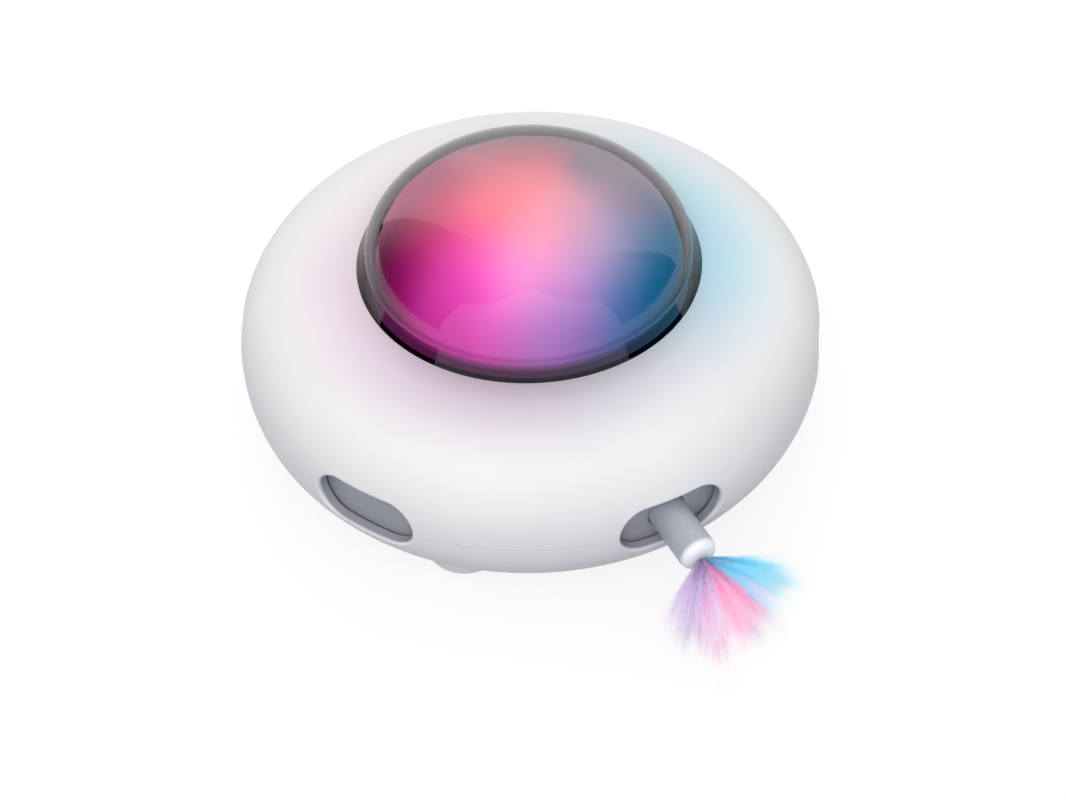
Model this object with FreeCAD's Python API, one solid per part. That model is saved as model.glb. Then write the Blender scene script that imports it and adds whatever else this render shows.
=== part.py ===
import FreeCAD, Part
import math
import os

# Saucer-shaped automatic cat toy with a light dome and a feather wand.
# Millimetres, +Z up. The origin is on the body's axis, on the floor under the feet.
# The wand points along -Y. Azimuths are degrees about +Z, counted from -Y towards +X.

# Body outline
BODY_RADIUS = 95.0
UNDERSIDE_Z = 5.0
LOWER_DEPTH = 28.6
UPPER_RISE = 30.4
UNDERSIDE_RADIUS = 60.0
LOWER_FULLNESS = 2.3
UPPER_FULLNESS = 2.31
WALL = 2.4
PARTING_GROOVE = 0.35
OUTLINE_STEPS = 8

# Light dome
DOME_RADIUS = 55.0
DOME_TAPER = 2.85
DOME_TAPER_RISE = 4.6
DOME_CAP_RISE = 27.5
DOME_CROWN = 12.0
DOME_WALL = 2.2
DOME_FLANGE_WIDTH = 3.4
DOME_FLANGE_THICK = 1.5
SEAL_THICK = 1.0
DIFFUSER_GAP = 2.4
DIFFUSER_WALL = 1.4

# Windows round the waist
WINDOW_COUNT = 6
WINDOW_WIDTH = 35.0
WINDOW_HEIGHT = 17.5
WINDOW_LIP = 0.8

# Feet
FOOT_COUNT = 4
FOOT_CIRCLE = 69.5
FOOT_RADIUS = 12.5
FOOT_LIFT = 2.0
FOOT_ROUND = 1.0
PAD_RADIUS = 9.6
PAD_SEAT = 1.0
PAD_ROUND = 0.5

# Wand
ROD_RADIUS = 6.0
ROD_BORE = 4.05
ROD_OUT = 16.0
ROD_NOSE = 3.0
NOSE_DEPTH = 6.0
SPIGOT_LENGTH = 12.0
PLUG_RADIUS = 2.05
PLUG_LENGTH = 7.0
CARRIAGE_PLATE = 4.0
PLATE_CLEARANCE = 0.6
TUFT_LENGTH = 36.0
TUFT_HALF_WIDTH = 18.0
TUFT_HALF_DEPTH = 13.0
TUFT_DROOP = 7.0
TUFT_SWELL = ((0.25, 0.48), (0.5, 0.82), (0.8, 1.0), (1.0, 0.8))
TUFT_ROOT_WIDTH = 1.4
TUFT_ROOT_DEPTH = 1.2
TUFT_EDGE_ANGLE = 80.0
TUFT_PINK_ANGLE = 12.0
TUFT_PART_GAP = 0.5

# Rack and sun gear
GEAR_MODULE = 1.0
SUN_TEETH = 20
PRESSURE_ANGLE = 20.0
BACKLASH = 0.12
ROOT_CLEARANCE = 0.25
GEAR_HEIGHT = 6.5
RACK_BACK = 5.0
RACK_SPARE_TEETH = 1
RIB_CLEARANCE = 2.0
FLANK_STEPS = 3
SHAFT_RADIUS = 2.5

# Turntable and drum
DRUM_GAP = 0.8
BAND_DEPTH = 4.4
DRUM_WALL = 1.6
DRUM_HALF_HEIGHT = 10.4
DRUM_FLANGE_WIDTH = 6.2
DRUM_FLANGE_THICK = 1.6
DRUM_SCREW_COUNT = 6
DISC_THICK = 2.0
HUB_WALL = 4.0
HUB_DROP = 2.2
RIB_THICK = 1.7
RIB_HEIGHT = 2.8
RIDGE_THICK = 4.0
KEEPER_THICK = 1.2
KEEPER_OVERLAP = 2.6
KEEPER_SCREW_COUNT = 4
GUIDE_LENGTH = 10.2
GUIDE_HALF_WIDTH = 9.5
GUIDE_EAR = 6.5
GUIDE_EAR_THICK = 2.4

# Slide ring under the turntable
RING_INNER = 58.0
RING_WIDTH = 6.0
RING_THICK = 2.5
RING_LIFT = 0.2
POST_RADIUS = 3.5
POST_AZIMUTHS = (-125.0, -50.0, 50.0, 125.0)

# Gearmotor
GEARBOX_HALF_WIDTH = 14.5
GEARBOX_FRONT = -14.0
GEARBOX_BACK = 17.0
GEARBOX_HEIGHT = 12.0
GEARBOX_COVER = 2.0
GEARBOX_WALL = 1.6
GEARBOX_CORNER = 3.0
EAR_RADIUS = 4.0
EAR_OFFSET = 2.4
EAR_THICK = 2.4
PIVOT_RADIUS = 8.0
MOTOR_LENGTH = 23.0
MOTOR_WIDTH = 12.0
MOTOR_HEIGHT = 10.0
MOTOR_X = 8.0
MOTOR_CORNER = 3.0
MOTOR_CAP = 2.5
MOTOR_CAP_INSET = 0.3
TERMINAL_LENGTH = 1.4
TERMINAL_ROOT = 1.0
TERMINAL_WIDTH = 1.4
TERMINAL_THICK = 0.5
TERMINAL_SPACING = 6.0
TERMINAL_LIFT = 3.0

# Power: cell, board, socket and button
CELL_WIDTH = 50.0
CELL_LENGTH = 34.0
CELL_THICK = 6.0
CELL_BACK_Y = -32.0
CELL_CORNER = 2.5
TAPE_THICK = 1.0
TAPE_MARGIN = 8.0
CELL_RIB_HEIGHT = 4.0
CELL_RIB_RUN = 4.0
BOARD_THICK = 1.6
BOARD_HALF_WIDTH = 33.0
BOARD_FRONT_Y = 44.0
BOARD_EDGE_GAP = 2.0
BOARD_SCREW_EDGE = 1.0
BOARD_Z = 13.4
SOCKET_WIDTH = 8.94
SOCKET_HEIGHT = 3.26
SOCKET_LENGTH = 7.3
SOCKET_WALL = 0.3
SOCKET_TONGUE = 0.7
TONGUE_MARGIN = 0.9
SOCKET_DEPTH = 6.2
PORT_CLEARANCE = 0.35
PORT_RECESS_WIDTH = 13.0
PORT_RECESS_HEIGHT = 7.4
PORT_FACE = 1.3
BUTTON_X = -12.0
BUTTON_Y = 50.0
BUTTON_RADIUS = 6.0
BUTTON_PROUD = 0.8
BUTTON_ROUND = 0.4
BUTTON_FLANGE = 1.6
BUTTON_FLANGE_THICK = 1.0
BUTTON_TRAVEL = 0.8
STEM_RADIUS = 1.6
STEM_ENTRY = 0.6
SWITCH_SIZE = 6.0
SWITCH_HEIGHT = 3.4

# Parts on the board: place across it, place beyond its middle, width, depth and height
CONTROLLER = (-2.0, 0.0, 10.0, 6.2, 1.6)
MOTOR_DRIVER = (12.0, 8.0, 5.0, 4.0, 1.5)
CHARGER = (-15.0, 6.0, 4.9, 3.9, 1.5)
INDUCTOR = (-22.0, 2.5, 6.0, 6.0, 2.8)
INDUCTOR_CORNER = 1.5
CAPACITOR_X = 26.0
CAPACITOR_BEYOND = -2.5
CAPACITOR_RADIUS = 2.5
CAPACITOR_HEIGHT = 3.6

# Light deck in the upper shell
DECK_Z = 56.0
DECK_THICK = 2.0
DECK_BOSS_GAP = 2.4
DECK_SCREW_COUNT = 4
DECK_EDGE = 4.0
LED_BOARD_GAP = 3.0
LED_BOARD_BORE = 9.0
LED_BOARD_LIFT = 2.0
LED_BOARD_THICK = 1.6
LED_CIRCLE = 30.0
LED_COUNT = 8
LED_SIZE = 5.0
LED_HEIGHT = 1.6
LED_POCKET_RADIUS = 1.75
LED_SCREW_EDGE = 5.0
LED_SCREW_COUNT = 3
HOLD_DOWN_GAP = 0.3
HOLD_DOWN_THICK = 1.8

# Snap tabs that join the shells
TAB_THICK = 1.2
TAB_MIDDLE = 1.87
TAB_DROP = 6.0
TAB_ROOT = 3.0
TAB_SPREAD = 12.0
HOOK_DEPTH = 0.5
HOOK_HEIGHT = 1.2

# Leads
LIGHT_LEAD_AZIMUTH = 162.0
LIGHT_LEAD_RADIUS = 0.7
LIGHT_LEAD_BEND = 4.0
LIGHT_LEAD_GAP = 1.8
LIGHT_LEAD_RISE = 0.6
CHANNEL_WIDTH = 2.4
CHANNEL_SKIN = 1.0
CONNECTOR_LENGTH = 5.2
CONNECTOR_WIDTH = 6.0
CONNECTOR_HEIGHT = 3.8
POWER_LEAD_RADIUS = 0.6
POWER_LEAD_PITCH = 1.5
POWER_LEAD_RUN = 5.0
POWER_LEAD_FALL = 14.0
POWER_LEAD_CLIMB = 16.0
POWER_LEAD_LIFT = 1.0
MOTOR_LEAD_RADIUS = 0.5
MOTOR_LEAD_RUN = 3.0
BEND_SHARE = 0.45

# Screws
SCREW_RADIUS = 1.1
SCREW_HEAD_RADIUS = 2.1
SCREW_HEAD_HEIGHT = 1.3
SCREW_RECESS = 0.6
SCREW_SLOT_REACH = 1.26
SCREW_SLOT_WIDTH = 0.5
SCREW_BITE = 5.0
BOSS_RADIUS = 3.2

# Fits
RUNNING_FIT = 0.06
LOOSE_FIT = 0.1
SNAP_FIT = 0.15
PRESS_FIT = 0.02
SOFT_GAP = 0.3
SLIDE_GAP = 0.1
TINY = 0.01

# Heights and radii that follow
PARTING_Z = UNDERSIDE_Z + LOWER_DEPTH
DOME_FOOT_Z = PARTING_Z + UPPER_RISE
FLOOR_Z = UNDERSIDE_Z + WALL
CEILING_Z = DOME_FOOT_Z - WALL
BAND_RADIUS = BODY_RADIUS - BAND_DEPTH
DRUM_RADIUS = BAND_RADIUS - DRUM_GAP
DRUM_INNER = DRUM_RADIUS - DRUM_WALL
DRUM_TOP = PARTING_Z + DRUM_HALF_HEIGHT
DRUM_BOTTOM = PARTING_Z - DRUM_HALF_HEIGHT
DISC_RADIUS = DRUM_INNER - LOOSE_FIT
WINDOW_STEP = 360.0 / WINDOW_COUNT
GEARBOX_TOP = FLOOR_Z + GEARBOX_HEIGHT
RING_OUTER = RING_INNER + RING_WIDTH
RING_BOTTOM = GEARBOX_TOP + RING_LIFT
RING_TOP = RING_BOTTOM + RING_THICK
DISC_BOTTOM = RING_TOP + SLIDE_GAP
DISC_TOP = DISC_BOTTOM + DISC_THICK
RACK_BOTTOM = DISC_TOP + SLIDE_GAP
RACK_TOP = RACK_BOTTOM + GEAR_HEIGHT
SUN_BOTTOM = DISC_TOP + SOFT_GAP
SUN_TOP = SUN_BOTTOM + GEAR_HEIGHT
SUN_PITCH = GEAR_MODULE * SUN_TEETH / 2
TOOTH_PITCH = math.pi * GEAR_MODULE
RACK_TIP_X = SUN_PITCH - GEAR_MODULE
RACK_ROOT_X = SUN_PITCH + GEAR_MODULE + ROOT_CLEARANCE
RACK_BACK_X = RACK_ROOT_X + RACK_BACK
RIDGE_X = RACK_BACK_X + SLIDE_GAP
GUIDE_INNER_Y = -(DISC_RADIUS - GUIDE_LENGTH)
PLATE_OUTER_Y = GUIDE_INNER_Y + SOFT_GAP
PLATE_INNER_Y = PLATE_OUTER_Y + CARRIAGE_PLATE
ROD_STROKE = -PLATE_INNER_Y - SUN_PITCH - GEAR_MODULE - PLATE_CLEARANCE
ROD_REACH = BODY_RADIUS + ROD_OUT
RACK_END_Y = 2 * TOOTH_PITCH
CELL_BOTTOM = FLOOR_Z + TAPE_THICK
BOARD_TOP = BOARD_Z + BOARD_THICK
SOCKET_Z = BOARD_TOP + SOCKET_HEIGHT / 2
FLANGE_TOP = CEILING_Z - LOOSE_FIT
FLANGE_BOTTOM = FLANGE_TOP - DOME_FLANGE_THICK
FLANGE_RADIUS = DOME_RADIUS + DOME_FLANGE_WIDTH
SEAL_BOTTOM = FLANGE_BOTTOM - SEAL_THICK
DECK_TOP = DECK_Z + DECK_THICK
LED_BOARD_Z = DECK_TOP + LED_BOARD_LIFT
DIFFUSER_INSET = DOME_WALL + DIFFUSER_GAP
DECK_SCREW_CIRCLE = FLANGE_RADIUS + DECK_BOSS_GAP + BOSS_RADIUS
LED_BOARD_RADIUS = DOME_RADIUS - DIFFUSER_INSET - DIFFUSER_WALL - LED_BOARD_GAP
LED_SCREW_CIRCLE = LED_BOARD_RADIUS - LED_SCREW_EDGE
FAR = 2 * BODY_RADIUS


def vec(x, y, z):
    return FreeCAD.Vector(x, y, z)


UP = vec(0, 0, 1)
ALONG_Y = vec(0, 1, 0)
CENTRE = vec(0, 0, 0)


def disc(radius, z0, z1, x=0.0, y=0.0):
    """Upright cylinder between two heights."""
    return Part.makeCylinder(radius, z1 - z0, vec(x, y, z0), UP)


def ring(inner, outer, z0, z1, x=0.0, y=0.0):
    return disc(outer, z0, z1, x, y).cut(disc(inner, z0, z1, x, y))


def block(x0, x1, y0, y1, z0, z1):
    return Part.makeBox(x1 - x0, y1 - y0, z1 - z0, vec(x0, y0, z0))


def rounded_block(x0, x1, y0, y1, z0, z1, corner):
    """Block with rounded upright edges."""
    solid = block(x0, x1, y0, y1, z0, z1)
    upright = [e for e in solid.Edges if abs(e.tangentAt(e.FirstParameter).z) > 1 - TINY]
    return solid.makeFillet(corner, upright)


def bar_y(radius, y0, y1, x, z):
    """Cylinder along Y between two places."""
    return Part.makeCylinder(radius, y1 - y0, vec(x, y0, z), ALONG_Y)


def turned(shape, azimuth):
    """Copy of a shape built at -Y, turned about the body's axis."""
    copy = shape.copy()
    copy.rotate(CENTRE, UP, azimuth)
    return copy


def polar(radius, azimuth):
    angle = math.radians(azimuth)
    return radius * math.sin(angle), -radius * math.cos(angle)


def around(count, start=0.0):
    return [start + 360.0 * index / count for index in range(count)]


def ring_segment(inner, outer, z0, z1, azimuth, spread):
    """Part of a ring, centred on an azimuth."""
    solids = [Part.makeCylinder(r, z1 - z0, vec(0, 0, z0), UP, spread) for r in (outer, inner)]
    return turned(solids[0].cut(solids[1]), azimuth - 90.0 - spread / 2)


def fused(first, others):
    return first.multiFuse(others).removeSplitter()


def stadium_y(width, height, y0, y1, x, z):
    """Slot-shaped bar along Y."""
    half = height / 2
    run = width / 2 - half
    ends = [bar_y(half, y0, y1, x + side * run, z) for side in (-1, 1)]
    return fused(block(x - run, x + run, y0, y1, z - half, z + half), ends)


def rounded_bar_y(width, height, y0, y1, x, z, corner):
    """Block along Y with rounded long edges."""
    solid = block(x - width / 2, x + width / 2, y0, y1, z - height / 2, z + height / 2)
    long_edges = [e for e in solid.Edges if abs(e.tangentAt(e.FirstParameter).y) > 1 - TINY]
    return solid.makeFillet(corner, long_edges)


def revolved(edges):
    """Solid of revolution from a closed outline in the XZ plane."""
    return Part.Face(Part.Wire(edges)).revolve(CENTRE, UP, 360.0)


def line(r0, z0, r1, z1):
    return Part.LineSegment(vec(r0, 0, z0), vec(r1, 0, z1)).toShape()


def screw(x, y, seat_z, length, points_up=False):
    """Pan-head screw. Its head sits on seat_z and its shank runs into the boss."""
    side = -1 if points_up else 1
    shank = disc(SCREW_RADIUS, *sorted((seat_z - side * length, seat_z)), x, y)
    head = disc(SCREW_HEAD_RADIUS, *sorted((seat_z, seat_z + side * SCREW_HEAD_HEIGHT)), x, y)
    top = seat_z + side * SCREW_HEAD_HEIGHT
    deep = top - side * SCREW_RECESS
    half = SCREW_SLOT_WIDTH / 2
    slots = []
    for across, along in ((half, SCREW_SLOT_REACH), (SCREW_SLOT_REACH, half)):
        slots.append(block(x - across, x + across, y - along, y + along, *sorted((deep, top))))
    return fused(shank, [head]).cut(fused(slots[0], slots[1:]))


def screw_hole(x, y, z0, z1, tight=True):
    radius = SCREW_RADIUS + (PRESS_FIT if tight else SNAP_FIT)
    return disc(radius, z0, z1, x, y)


def lead(points, radius, tightest=None):
    """Round wire along straight runs joined by arcs, as wide as the runs or a given bend allow."""
    edges = []
    start = points[0]
    for before, corner, after in zip(points, points[1:], points[2:]):
        into = corner - before
        out = after - corner
        half_turn = into.getAngle(out) / 2
        bend = BEND_SHARE * min(into.Length, out.Length) / math.tan(half_turn)
        if tightest:
            bend = min(bend, tightest)
        trim = bend * math.tan(half_turn)
        into.normalize()
        out.normalize()
        arc_start = corner - into * trim
        arc_end = corner + out * trim
        inward = out - into
        inward.normalize()
        centre = corner + inward * (bend / math.cos(half_turn))
        middle = centre - inward * bend
        edges.append(Part.LineSegment(start, arc_start).toShape())
        edges.append(Part.Arc(arc_start, middle, arc_end).toShape())
        start = arc_end
    edges.append(Part.LineSegment(start, points[-1]).toShape())
    path = Part.Wire(edges)
    direction = points[1] - points[0]
    section = Part.Wire(Part.makeCircle(radius, points[0], direction))
    return path.makePipeShell([section], True, False)


# Casing

def quarter_outline(rim_radius, rim_z, flat_radius, flat_z, fullness):
    """Curve from an upright rim round to a level flat. A fullness of 2 is an ellipse, more is fuller."""
    points = []
    for step in range(OUTLINE_STEPS):
        angle = math.radians(90.0 * step / OUTLINE_STEPS)
        outward = math.cos(angle) ** (2 / fullness)
        upward = math.sin(angle) ** (2 / fullness)
        radius = flat_radius + (rim_radius - flat_radius) * outward
        points.append(vec(radius, 0, rim_z + (flat_z - rim_z) * upward))
    points.append(vec(flat_radius, 0, flat_z))
    curve = Part.BSplineCurve()
    rise = vec(0, 0, math.copysign(1.0, flat_z - rim_z))
    curve.interpolate(Points=points, InitialTangent=rise, FinalTangent=vec(-1, 0, 0))
    return curve.toShape()


def body_solid(inset):
    """The whole saucer as one solid, drawn in by an inset."""
    rim = BODY_RADIUS - inset
    bottom = UNDERSIDE_Z + inset
    top = DOME_FOOT_Z - inset
    return revolved([
        line(0, bottom, UNDERSIDE_RADIUS, bottom),
        quarter_outline(rim, PARTING_Z, UNDERSIDE_RADIUS, bottom, LOWER_FULLNESS),
        quarter_outline(rim, PARTING_Z, DOME_RADIUS, top, UPPER_FULLNESS),
        line(DOME_RADIUS, top, 0, top),
        line(0, top, 0, bottom),
    ])


OUTER_BODY = body_solid(0.0)
MID_WALL_BODY = body_solid(WALL / 2)
SKIN_BODY = body_solid(CHANNEL_SKIN)
INNER_ROOM = body_solid(WALL).common(disc(BAND_RADIUS, 0, FAR))


def windows():
    """Slot-shaped cutters for the windows round the waist."""
    slot = stadium_y(WINDOW_WIDTH, WINDOW_HEIGHT, -FAR, -(BAND_RADIUS - WALL), 0, PARTING_Z)
    return [turned(slot, azimuth) for azimuth in around(WINDOW_COUNT)]


def lead_channel():
    """Groove in the waist band that the light lead climbs in."""
    half = CHANNEL_WIDTH / 2
    groove = block(-half, half, -FAR, -(DRUM_INNER - WALL), DISC_BOTTOM - WALL, DECK_Z)
    return turned(groove, LIGHT_LEAD_AZIMUTH).common(SKIN_BODY)


def window_lips(wall):
    """Edges where the windows meet the outer surface."""
    skin = OUTER_BODY.Shells[0]
    lips = []
    for edge in wall.Edges:
        middle = edge.valueAt((edge.FirstParameter + edge.LastParameter) / 2)
        height = abs(middle.z - PARTING_Z)
        beside_window = PARTING_GROOVE < height < WINDOW_HEIGHT / 2 + LOOSE_FIT
        if beside_window and skin.distToShape(Part.Vertex(middle))[0] < LOOSE_FIT:
            lips.append(edge)
    return lips


def casing_wall():
    """Both shells in one piece, before the parting line divides them."""
    wall = OUTER_BODY.cut([INNER_ROOM] + windows())
    wall = wall.makeFillet(WINDOW_LIP, window_lips(wall))
    half = PARTING_GROOVE / 2
    groove = ring(BODY_RADIUS - PARTING_GROOVE, FAR, PARTING_Z - half, PARTING_Z + half)
    return wall.cut([lead_channel(), groove])


CASING = casing_wall()
BELOW = block(-FAR, FAR, -FAR, FAR, -FAR, PARTING_Z)
ABOVE = block(-FAR, FAR, -FAR, FAR, PARTING_Z, FAR)


def tab_azimuths():
    return around(WINDOW_COUNT, WINDOW_STEP / 2)


def snap_tab(azimuth, gap):
    """Hooked tab between two windows. With a gap it is the pocket that takes it."""
    middle = BAND_RADIUS + TAB_MIDDLE
    inner = middle - TAB_THICK / 2 - gap
    outer = middle + TAB_THICK / 2 + gap
    spread = TAB_SPREAD + math.degrees(2 * gap / BAND_RADIUS)
    low = PARTING_Z - TAB_DROP - gap
    root = PARTING_Z + (0 if gap else TAB_ROOT)
    blade = ring_segment(inner, outer, low, root, azimuth, spread)
    hook = ring_segment(inner, outer + HOOK_DEPTH, low, low + HOOK_HEIGHT + 2 * gap, azimuth, spread)
    return fused(blade, [hook])


def foot_places():
    """Feet evenly round the underside, and one under the middle that carries the gearmotor."""
    return [polar(FOOT_CIRCLE, turn) for turn in around(FOOT_COUNT, 180.0 / FOOT_COUNT)] + [(0, 0)]


def foot_boss(x, y):
    """Round foot moulded under the shell, with a seat for its pad."""
    boss = disc(FOOT_RADIUS, FOOT_LIFT, PARTING_Z / 2, x, y)
    lower_rim = [e for e in boss.Edges if abs(e.BoundBox.ZMax - FOOT_LIFT) < TINY]
    return boss.makeFillet(FOOT_ROUND, lower_rim).cut(INNER_ROOM)


def cell_ribs():
    """Low ribs at the corners of the cell."""
    ribs = []
    half = CELL_WIDTH / 2 + SOFT_GAP
    front = CELL_BACK_Y - CELL_LENGTH - SOFT_GAP
    back = CELL_BACK_Y + SOFT_GAP
    top = CELL_BOTTOM + CELL_RIB_HEIGHT
    for side in (-1, 1):
        edge = sorted((side * half, side * (half + WALL / 2)))
        run = sorted((side * (half + WALL / 2), side * (half - CELL_RIB_RUN)))
        ribs.append(block(edge[0], edge[1], back - CELL_RIB_RUN, back + WALL / 2, 0, top))
        ribs.append(block(run[0], run[1], back, back + WALL / 2, 0, top))
        ribs.append(block(run[0], run[1], front - WALL / 2, front, 0, top))
    return ribs


def inner_radius(z):
    """Radius of the casing's inside face at a height."""
    if z < PARTING_Z:
        share, flat, fullness = (PARTING_Z - z) / (LOWER_DEPTH - WALL), UNDERSIDE_RADIUS, LOWER_FULLNESS
    else:
        share, flat, fullness = (z - PARTING_Z) / (UPPER_RISE - WALL), DOME_RADIUS, UPPER_FULLNESS
    reach = (1 - share ** fullness) ** (1 / fullness)
    return flat + (BODY_RADIUS - WALL - flat) * reach


BOARD_RADIUS = inner_radius(BOARD_Z) - BOARD_EDGE_GAP
PORT_FACE_Y = inner_radius(BOARD_TOP)


def board_screws_at():
    back_y = math.sqrt(BOARD_RADIUS ** 2 - BOARD_HALF_WIDTH ** 2) - BOSS_RADIUS
    front_y = BOARD_FRONT_Y + BOSS_RADIUS + BOARD_SCREW_EDGE
    side_x = BOARD_HALF_WIDTH - BOSS_RADIUS - BOARD_SCREW_EDGE
    return [(side * side_x, y) for y in (front_y, back_y) for side in (-1, 1)]


def gearbox_ears_at():
    reach = GEARBOX_HALF_WIDTH + EAR_OFFSET
    return [(-reach, GEARBOX_FRONT + EAR_RADIUS), (reach, GEARBOX_FRONT + EAR_RADIUS)]


def ring_posts_at():
    return [polar((RING_INNER + RING_OUTER) / 2, azimuth) for azimuth in POST_AZIMUTHS]


def port_boss():
    """Thicker wall round the charging port."""
    half = PORT_RECESS_WIDTH / 2 + WALL
    low = SOCKET_Z - PORT_RECESS_HEIGHT / 2 - WALL
    high = DISC_BOTTOM - SOFT_GAP
    return block(-half, half, PORT_FACE_Y, FAR, low, high).common(MID_WALL_BODY)


def port_cutters():
    width = SOCKET_WIDTH + 2 * PORT_CLEARANCE
    height = SOCKET_HEIGHT + 2 * PORT_CLEARANCE
    mouth = stadium_y(width, height, PORT_FACE_Y - PORT_FACE, FAR, 0, SOCKET_Z)
    recess_start = PORT_FACE_Y + PORT_FACE
    recess = stadium_y(PORT_RECESS_WIDTH, PORT_RECESS_HEIGHT, recess_start, FAR, 0, SOCKET_Z)
    return [mouth, recess]


def lower_shell():
    shell = CASING.common(BELOW)
    posts = [disc(POST_RADIUS, 0, RING_BOTTOM, x, y) for x, y in ring_posts_at()]
    posts += [disc(BOSS_RADIUS, 0, BOARD_Z, x, y) for x, y in board_screws_at()]
    posts += cell_ribs()
    inside = [post.common(MID_WALL_BODY) for post in posts]
    feet = [foot_boss(x, y) for x, y in foot_places()]
    shell = fused(shell, inside + feet + [port_boss()])
    cutters = [snap_tab(azimuth, SNAP_FIT) for azimuth in tab_azimuths()]
    cutters += [disc(PAD_RADIUS + PRESS_FIT, 0, FOOT_LIFT + PAD_SEAT, x, y) for x, y in foot_places()]
    cutters += [screw_hole(x, y, RING_BOTTOM - SCREW_BITE, RING_BOTTOM) for x, y in ring_posts_at()]
    cutters += [screw_hole(x, y, BOARD_Z - SCREW_BITE / 2, BOARD_Z) for x, y in board_screws_at()]
    cutters += [screw_hole(x, y, FLOOR_Z - WALL / 2, FLOOR_Z) for x, y in gearbox_ears_at()]
    cutters += port_cutters()
    cutters.append(disc(BUTTON_RADIUS + SNAP_FIT, 0, FLOOR_Z + LOOSE_FIT, BUTTON_X, BUTTON_Y))
    return shell.cut(cutters)


def deck_screws_at():
    azimuths = around(DECK_SCREW_COUNT, 180.0 / DECK_SCREW_COUNT)
    return [polar(DECK_SCREW_CIRCLE, azimuth) for azimuth in azimuths]


def upper_shell():
    shell = CASING.common(ABOVE)
    bosses = [disc(BOSS_RADIUS, DECK_TOP, FAR, x, y).common(MID_WALL_BODY) for x, y in deck_screws_at()]
    low = DRUM_TOP + HOLD_DOWN_GAP
    ledge = ring(DRUM_INNER, FAR, low, low + HOLD_DOWN_THICK).common(MID_WALL_BODY)
    tabs = [snap_tab(azimuth, 0.0) for azimuth in tab_azimuths()]
    shell = fused(shell, bosses + [ledge.cut(lead_channel())] + tabs)
    cutters = [screw_hole(x, y, DECK_TOP, CEILING_Z) for x, y in deck_screws_at()]
    cutters.append(disc(DOME_RADIUS + LOOSE_FIT, DECK_Z, FAR))
    return shell.cut(cutters)


def rubber_feet():
    pads = []
    for x, y in foot_places():
        pad = disc(PAD_RADIUS, 0, FOOT_LIFT + PAD_SEAT, x, y)
        rim = [e for e in pad.Edges if abs(e.BoundBox.ZMax) < TINY]
        pads.append(pad.makeFillet(PAD_ROUND, rim))
    return Part.makeCompound(pads)


# Light dome

def dome_outline(shoulder, shoulder_z, rise):
    """Elliptic side of the dome, and the round crown that carries it on to the axis."""
    turn = math.acos(DOME_CROWN / shoulder)
    ellipse = Part.Ellipse(
        vec(shoulder, 0, shoulder_z), vec(0, 0, shoulder_z + rise), vec(0, 0, shoulder_z),
    )
    crown_z = shoulder_z + rise * math.sin(turn)
    lean = math.atan2(rise * math.cos(turn), shoulder * math.sin(turn))
    radius = DOME_CROWN / math.sin(lean)
    centre_z = crown_z - radius * math.cos(lean)
    half = vec(radius * math.sin(lean / 2), 0, centre_z + radius * math.cos(lean / 2))
    top = centre_z + radius
    crown = Part.Arc(vec(DOME_CROWN, 0, crown_z), half, vec(0, 0, top))
    return ellipse.toShape(0, turn), crown.toShape(), top


def dome_solid(inset, foot_z):
    """Tapered wall and rounded cap of the dome, drawn in by an inset."""
    foot = DOME_RADIUS - inset
    shoulder = foot - DOME_TAPER
    shoulder_z = DOME_FOOT_Z + DOME_TAPER_RISE
    side, crown, top = dome_outline(shoulder, shoulder_z, DOME_CAP_RISE - inset)
    return revolved([
        line(0, foot_z, foot, foot_z),
        line(foot, foot_z, foot, DOME_FOOT_Z),
        line(foot, DOME_FOOT_Z, shoulder, shoulder_z),
        side,
        crown,
        line(0, top, 0, foot_z),
    ])


def dome_cover():
    """Smoked clear dome with a flange that the upper shell traps."""
    shell = dome_solid(0.0, FLANGE_BOTTOM).cut(dome_solid(DOME_WALL, FLANGE_BOTTOM))
    return fused(shell, [ring(DOME_RADIUS - DOME_WALL, FLANGE_RADIUS, FLANGE_BOTTOM, FLANGE_TOP)])


def dome_seal():
    return ring(DOME_RADIUS - DOME_WALL, FLANGE_RADIUS, SEAL_BOTTOM, FLANGE_BOTTOM)


def light_diffuser():
    """Frosted inner dome that spreads the lights."""
    inner = DIFFUSER_INSET + DIFFUSER_WALL
    return dome_solid(DIFFUSER_INSET, DECK_TOP).cut(dome_solid(inner, DECK_TOP))


def led_screws_at():
    return [polar(LED_SCREW_CIRCLE, azimuth) for azimuth in around(LED_SCREW_COUNT)]


def deck_connector(gap=0.0):
    half = CONNECTOR_WIDTH / 2 + gap
    outer = LED_SCREW_CIRCLE + gap
    inner = LED_SCREW_CIRCLE - CONNECTOR_LENGTH - gap
    low = DECK_Z - CONNECTOR_HEIGHT
    return turned(block(-half, half, -outer, -inner, low, LED_BOARD_Z), LIGHT_LEAD_AZIMUTH)


def light_deck():
    """Plate that closes the dome from below and carries the lights."""
    plate = disc(DECK_SCREW_CIRCLE + DECK_EDGE, DECK_Z, DECK_TOP)
    rim = ring(DOME_RADIUS - DOME_WALL, FLANGE_RADIUS, DECK_TOP, SEAL_BOTTOM)
    posts = [disc(BOSS_RADIUS, DECK_TOP, LED_BOARD_Z, x, y) for x, y in led_screws_at()]
    cutters = [screw_hole(x, y, DECK_Z, DECK_TOP, tight=False) for x, y in deck_screws_at()]
    cutters += [screw_hole(x, y, DECK_Z, LED_BOARD_Z) for x, y in led_screws_at()]
    cutters.append(deck_connector(SOFT_GAP))
    return fused(plate, [rim] + posts).cut(cutters)


def led_board():
    board = ring(LED_BOARD_BORE, LED_BOARD_RADIUS, LED_BOARD_Z, LED_BOARD_Z + LED_BOARD_THICK)
    holes = [screw_hole(x, y, LED_BOARD_Z, LED_BOARD_Z + LED_BOARD_THICK, tight=False)
             for x, y in led_screws_at()]
    return board.cut(holes)


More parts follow.
